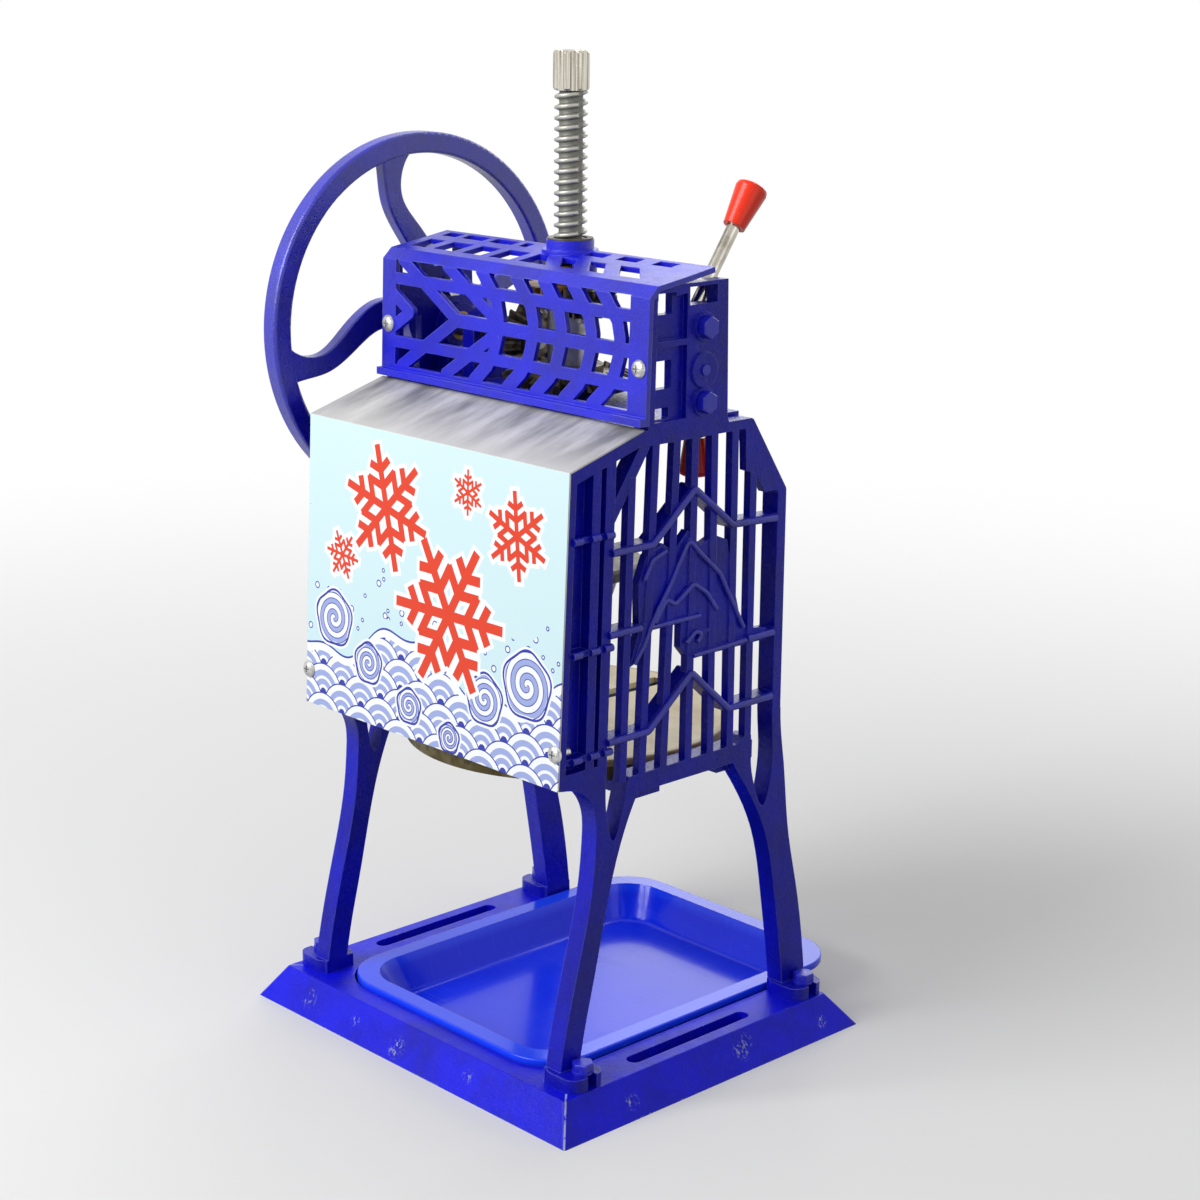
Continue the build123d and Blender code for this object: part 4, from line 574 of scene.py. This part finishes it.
table_dark = Finish("table_dark", Metallic=0.5)
vector = table_dark.place()
crust = table_dark.noise(vector, 160.0, 4.0, 0.65)
dust = table_dark.noise(vector, 30.0, 3.0)
olive = table_dark.blend(ink(84, 72, 34), ink(124, 116, 84), dust.step(0.45, 0.65))
table_dark.drive(Base_Color=table_dark.blend(olive, ink(58, 46, 26), crust.step(0.50, 0.72)),
                 Roughness=0.44 + crust * 0.25, Normal=table_dark.bump(crust, 0.0005, 0.6, 0.0006))
table_dark.coat("table_plate")

# ---- Blade and its clamp
# A ground tool-steel blade lies on a sloping bed under the mouth, held by a clamp bar and screws. It keeps
# its grinding lines and has a few rust spots; the gripper's spikes are of the same steel.
ground_steel = Finish("ground_steel", Metallic=1.0)
vector = ground_steel.place()
grinding = ground_steel.noise(ground_steel.stretched(vector, (2600.0, 30.0, 1500.0)), 1.0, 2.0, 0.6)
rust = ground_steel.noise(vector, 130.0, 3.0, 0.7)
lined = ground_steel.blend(ink(206, 208, 212), ink(170, 173, 178), grinding)
ground_steel.drive(Base_Color=ground_steel.blend(lined, ink(122, 100, 82), rust.step(0.66, 0.74) * 0.6),
                   Roughness=0.18 + grinding * 0.16 + rust * 0.06,
                   Normal=ground_steel.bump(grinding, 0.00008, 0.6, 0.0002))
ground_steel.coat("blade", "blade_clamp", "gripper_spikes")

# ---- Crank wheel
# A four-spoked iron wheel with S-curved spokes, held by a nut on the main shaft outside the left frame. Its
# paint is glossier than on the frames, from years of hands, with only a few specks lost from the rim.
axle_height, wheel_radius, hub_radius = 0.481, 0.1320, 0.021


def handled_rim(finish, vector):
    """Wear along the outside of the rim and round the hub."""
    y, z = finish.split(vector)[1:]
    from_axle = length_of(y, z - axle_height)
    on_the_rim = from_axle.step(wheel_radius - 0.0025, wheel_radius - 0.0008)
    return (on_the_rim + (from_axle < hub_radius)) * 0.5


wheel_paint = cast_paint("wheel_paint", 0.69, handled_rim, 0.22, 0.80, 190)
wheel_paint.coat("crank_wheel")

# ---- Shafts and pins
# The main shaft, the crank pin, the spindle's sleeve and the feed gear's post are turned steel, lightly
# oiled, with fine lathe lines round the shaft and the pin.
turned_steel = Finish("turned_steel", Metallic=1.0)
vector = turned_steel.place()
film = turned_steel.noise(vector, 55.0, 4.0, 0.6)
lathe_lines = turned_steel.noise(turned_steel.stretched(vector, (1800.0, 20.0, 20.0)), 1.0, 2.0, 0.5)
oiled = turned_steel.blend(ink(160, 160, 160), ink(104, 100, 96), film.step(0.42, 0.72))
turned_steel.drive(Base_Color=oiled, Roughness=0.26 + film * 0.2 + lathe_lines * 0.06,
                   Normal=turned_steel.bump(lathe_lines, 0.00008, 0.5, 0.0003))
turned_steel.coat("main_shaft", "crank_pin", "spindle_sleeve", "feed_post")

# ---- Gears
# Cut iron gears under the cover: a bevel pair that turns the spindle, and the spur gears that feed the
# screw. The iron is dark with grease in patches and brighter between them.
gear_iron = Finish("gear_iron", Metallic=0.9)
vector = gear_iron.place()
grease = gear_iron.noise(vector, 120.0, 4.0, 0.65)
gear_iron.drive(Base_Color=gear_iron.blend(ink(112, 104, 90), ink(48, 42, 36), grease.step(0.36, 0.62)),
                Roughness=0.32 + grease * 0.3, Normal=gear_iron.bump(grease, 0.0003, 0.5, 0.0004))
gear_iron.coat("bevel_gear", "bevel_pinion", "sleeve_gear", "feed_pinion")

# ---- Feed screw
# A steel screw with a coarse round-edged thread, cut along nearly its whole length and slotted for the
# sleeve's key. It is grey from handling, its grooves are painted darker as shade and grease, and it has
# grease patches.
screw_low, screw_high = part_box("feed_screw")
thread_low, thread_top = screw_low.z + 0.0002, 0.6488
crest_radius, groove_radius = (screw_high.x - screw_low.x) / 2, 0.0079
screw_steel = Finish("screw_steel", Metallic=0.65)
vector = screw_steel.place()
x, y = screw_steel.split(vector)[:2]
in_groove = 1.0 - length_of(x, y).step(groove_radius + 0.0005, groove_radius + 0.0025)
dirt = screw_steel.noise(vector, 150.0, 4.0, 0.65)
handled = screw_steel.blend(ink(200, 200, 190), ink(158, 158, 150), dirt)
# darker in the grooves, painted shade with grease, and in random grease patches
grease_and_groove_shade = in_groove * 0.7 + dirt.step(0.60, 0.75) * 0.2
screw_steel.drive(Base_Color=screw_steel.blend(handled, ink(84, 84, 80), grease_and_groove_shade),
                  Roughness=0.34 + in_groove * 0.2 + dirt * 0.1, Normal=screw_steel.bump(dirt, 0.0002, 0.5))

screw = Shape("threaded_screw", {"Sides": 72, "Levels": 640, "Neck sides": 32},
              {"Length": thread_top - thread_low, "Middle": (thread_top + thread_low) / 2, "Pitch": 0.0070,
               "Groove radius": groove_radius, "Crest radius": crest_radius, "Keyway half width": 0.0025,
               "Keyway floor": 0.0087, "Keyway start": 0.3455, "Neck radius": 0.0050, "Neck length": 0.0140,
               "Neck middle": 0.6550})
blank = screw.node("GeometryNodeMeshCylinder", {"fill_type": "NGON"},
                   {"Vertices": screw.size("Sides"), "Side Segments": screw.size("Levels"),
                    "Radius": screw.size("Crest radius"), "Depth": screw.size("Length")}, "Mesh")
# each point of the blank moves in towards the axis by the thread's profile, and flat in the keyway
x, y, z = screw.split(screw.node("GeometryNodeInputPosition"))
level = z + screw.size("Middle")
turns = y.math("ARCTAN2", x) / (2 * math.pi)
phase = (level / screw.size("Pitch") - turns).math("FLOORED_MODULO", 1.0)
ridge = screw.node("ShaderNodeMapRange", {"interpolation_type": "SMOOTHSTEP"},
                   {"Value": abs(phase - 0.5) * 2.0, "From Min": 0.66, "From Max": 0.22})
profile = screw.size("Groove radius") + (screw.size("Crest radius") - screw.size("Groove radius")) * ridge
shrunk = profile / length_of(x, y).math("MAXIMUM", 0.00001)
cut_x, cut_y = x * shrunk, y * shrunk
in_keyway = (abs(cut_y) < screw.size("Keyway half width")) * (cut_x > 0.0)
in_keyway = in_keyway * (level > screw.size("Keyway start"))
slotted_x = in_keyway * cut_x.math("MINIMUM", screw.size("Keyway floor")) + (1.0 - in_keyway) * cut_x
cut_place = screw.node("ShaderNodeCombineXYZ", {}, [slotted_x, cut_y, level])
cut = screw.node("GeometryNodeSetPosition", {}, {"Geometry": blank, "Position": cut_place})
neck = screw.node("GeometryNodeMeshCylinder", {"fill_type": "NGON"},
                  {"Vertices": screw.size("Neck sides"), "Radius": screw.size("Neck radius"),
                   "Depth": screw.size("Neck length")}, "Mesh")
neck_place = screw.node("ShaderNodeCombineXYZ", {}, [0.0, 0.0, screw.size("Neck middle")])
neck = screw.node("GeometryNodeTransform", {}, {"Geometry": neck, "Translation": neck_place})
joined = screw.node("GeometryNodeJoinGeometry", {}, [cut])
screw.tree.links.new(neck.socket, joined.socket.node.inputs[0])
rounded = screw.node("GeometryNodeSetShadeSmooth", {}, [joined])
threaded_screw = screw.made(rounded, screw_steel.material)
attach(threaded_screw, "feed_screw_body")
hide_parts("feed_screw")

# ---- Plated knob and levers
# The fluted knob on the screw and the rods of the hand levers are nickel-plated, bright with brown haze and
# drawn lines along them.
chrome = Finish("chrome", Metallic=1.0)
vector = chrome.place()
breath = chrome.noise(vector, 70.0, 3.0, 0.6)
drawn = chrome.noise(chrome.stretched(vector, (900.0, 900.0, 22.0)), 1.0, 3.0, 0.6)
pits = chrome.noise(vector, 520.0, 3.0, 0.7).step(0.68, 0.72)
plate = chrome.blend(ink(216, 212, 200), ink(150, 142, 124), drawn.step(0.42, 0.66))
chrome.drive(Base_Color=chrome.blend(plate, ink(108, 98, 84), pits * 0.7),
             Roughness=0.12 + breath * 0.12 + drawn * 0.08 + pits * 0.3,
             Normal=chrome.bump(breath + drawn * 0.6 - pits, 0.0001, 0.5, 0.0005))
chrome.coat("screw_knob")

rod_chrome = Finish("rod_chrome", Metallic=1.0)
vector = rod_chrome.place()
breath = rod_chrome.noise(vector, 60.0, 3.0, 0.6)
rod_chrome.drive(Base_Color=rod_chrome.blend(ink(196, 192, 182), ink(150, 144, 132), breath.step(0.38, 0.66)),
                 Roughness=0.14 + breath * 0.12, Normal=rod_chrome.bump(breath, 0.00006, 0.4, 0.0004))
rod_chrome.coat("clutch_lever", "trip_lever")

# ---- Red knobs and the crank grip
# The knobs of the two hand levers and the turning grip of the crank are moulded in glossy red plastic and
# fixed on their rods and on the crank pin. Hands have scuffed them slightly.
red_plastic = Finish("red_plastic", IOR=1.49, Specular_IOR_Level=0.25, Coat_Roughness=0.12)
vector = red_plastic.place()
mould = red_plastic.noise(vector, 40.0, 3.0)
scuff = red_plastic.noise(vector, 300.0, 4.0, 0.7).step(0.62, 0.68)
red = red_plastic.blend(ink(255, 58, 16), ink(244, 42, 12), mould)
red_plastic.drive(Base_Color=red_plastic.blend(red, ink(246, 120, 92), scuff * 0.3),
                  Roughness=0.26 + mould * 0.1 + scuff * 0.2, Coat_Weight=0.2 - scuff * 0.15,
                  Normal=red_plastic.bump(mould - scuff * 0.4, 0.0002, 0.4, 0.0008))
red_plastic.coat("clutch_knob", "trip_knob", "crank_grip")

# ---- Studio
# A plain pale floor that runs into a white room. The floor throws little light back up at the object, and the
# main soft light stands in front and a little to the left; nothing here belongs to the object.


def seen_rays(graph):
    """1 for the rays that show the room, straight or in a reflection, and 0 for those that light things."""
    path = graph.node("ShaderNodeLightPath", output="Is Camera Ray")
    rays = path.socket.node.outputs
    mirrored = Field(graph, rays["Is Glossy Ray"]).math("MAXIMUM", Field(graph, rays["Is Transmission Ray"]))
    return path.math("MAXIMUM", mirrored)


floor_reach = 30
floor_data = bpy.data.meshes.new("floor")
floor_corners = [(-1, -1), (1, -1), (1, 1), (-1, 1)]
floor_data.from_pydata([(side * floor_reach, depth * floor_reach, 0) for side, depth in floor_corners], [],
                       [(0, 1, 2, 3)])
floor = bpy.data.objects.new("floor", floor_data)
bpy.context.scene.collection.objects.link(floor)
floor_finish = Finish("floor_finish", Roughness=0.9, Specular_IOR_Level=0.1)
vector = floor_finish.place()
x, y = floor_finish.split(vector)[:2]
shown = seen_rays(floor_finish)
far = floor_finish.node("ShaderNodeMapRange", {"interpolation_type": "SMOOTHSTEP"},
                        {"Value": length_of(x, y), "From Min": 0.15, "From Max": 2.0})
floor_finish.drive(Base_Color=floor_finish.blend(ink(112, 112, 112), ink(222, 222, 222), shown))
white = floor_finish.node("ShaderNodeEmission", {}, {"Color": (1.0, 1.0, 1.0, 1.0), "Strength": 1.0})
surface = Field(floor_finish, floor_finish.shader.outputs[0])
faded = floor_finish.node("ShaderNodeMixShader", {}, [far * shown, surface, white])
floor_finish.tree.links.new(faded.socket, floor_finish.tree.nodes["Material Output"].inputs["Surface"])
floor_data.materials.append(floor_finish.material)

world = bpy.data.worlds.new("studio")
bpy.context.scene.world = world
world.use_nodes = True
room_light = Graph(world.node_tree)
room = world.node_tree.nodes["Background"]
room.inputs["Color"].default_value = (1.0, 1.0, 1.0, 1.0)
shaded_strength = 0.41
strength = seen_rays(room_light) * (1.0 - shaded_strength) + shaded_strength
world.node_tree.links.new(strength.socket, room.inputs["Strength"])

middle_of_the_object = Vector((0, 0, 0.33))
# each softbox: its place and width in metres, and its power in watts
softboxes = (((-0.45, -1.85, 1.60), 1.3, 50.0), ((1.90, 0.10, 1.10), 1.0, 2.5),
             ((-0.90, 1.90, 1.50), 1.8, 19.0))
for index, (place, width, watts) in enumerate(softboxes):
    light = bpy.data.lights.new(f"softbox_{index}", "AREA")
    light.size, light.energy = width, watts
    lamp = bpy.data.objects.new(f"softbox_{index}", light)
    lamp.location = place
    lamp.rotation_euler = (middle_of_the_object - lamp.location).to_track_quat("-Z", "Y").to_euler()
    bpy.context.scene.collection.objects.link(lamp)

camera_data = bpy.data.cameras.new("camera")
camera_data.lens, camera_data.sensor_width = 74.0, 36.0
camera_data.clip_start, camera_data.clip_end = 0.05, 100.0
camera = bpy.data.objects.new("camera", camera_data)
bpy.context.scene.collection.objects.link(camera)
camera_place = Vector((1.2066, -1.1228, 0.74425))
picture_right, picture_down = Vector((0.68911, 0.72460, 0.00955)), Vector((0.19367, -0.17145, -0.96597))
turned = Matrix((picture_right, -picture_down, picture_down.cross(picture_right))).transposed().to_4x4()
camera.matrix_world = Matrix.Translation(camera_place) @ turned
bpy.context.scene.camera = camera
bpy.context.scene.view_settings.view_transform = "Standard"
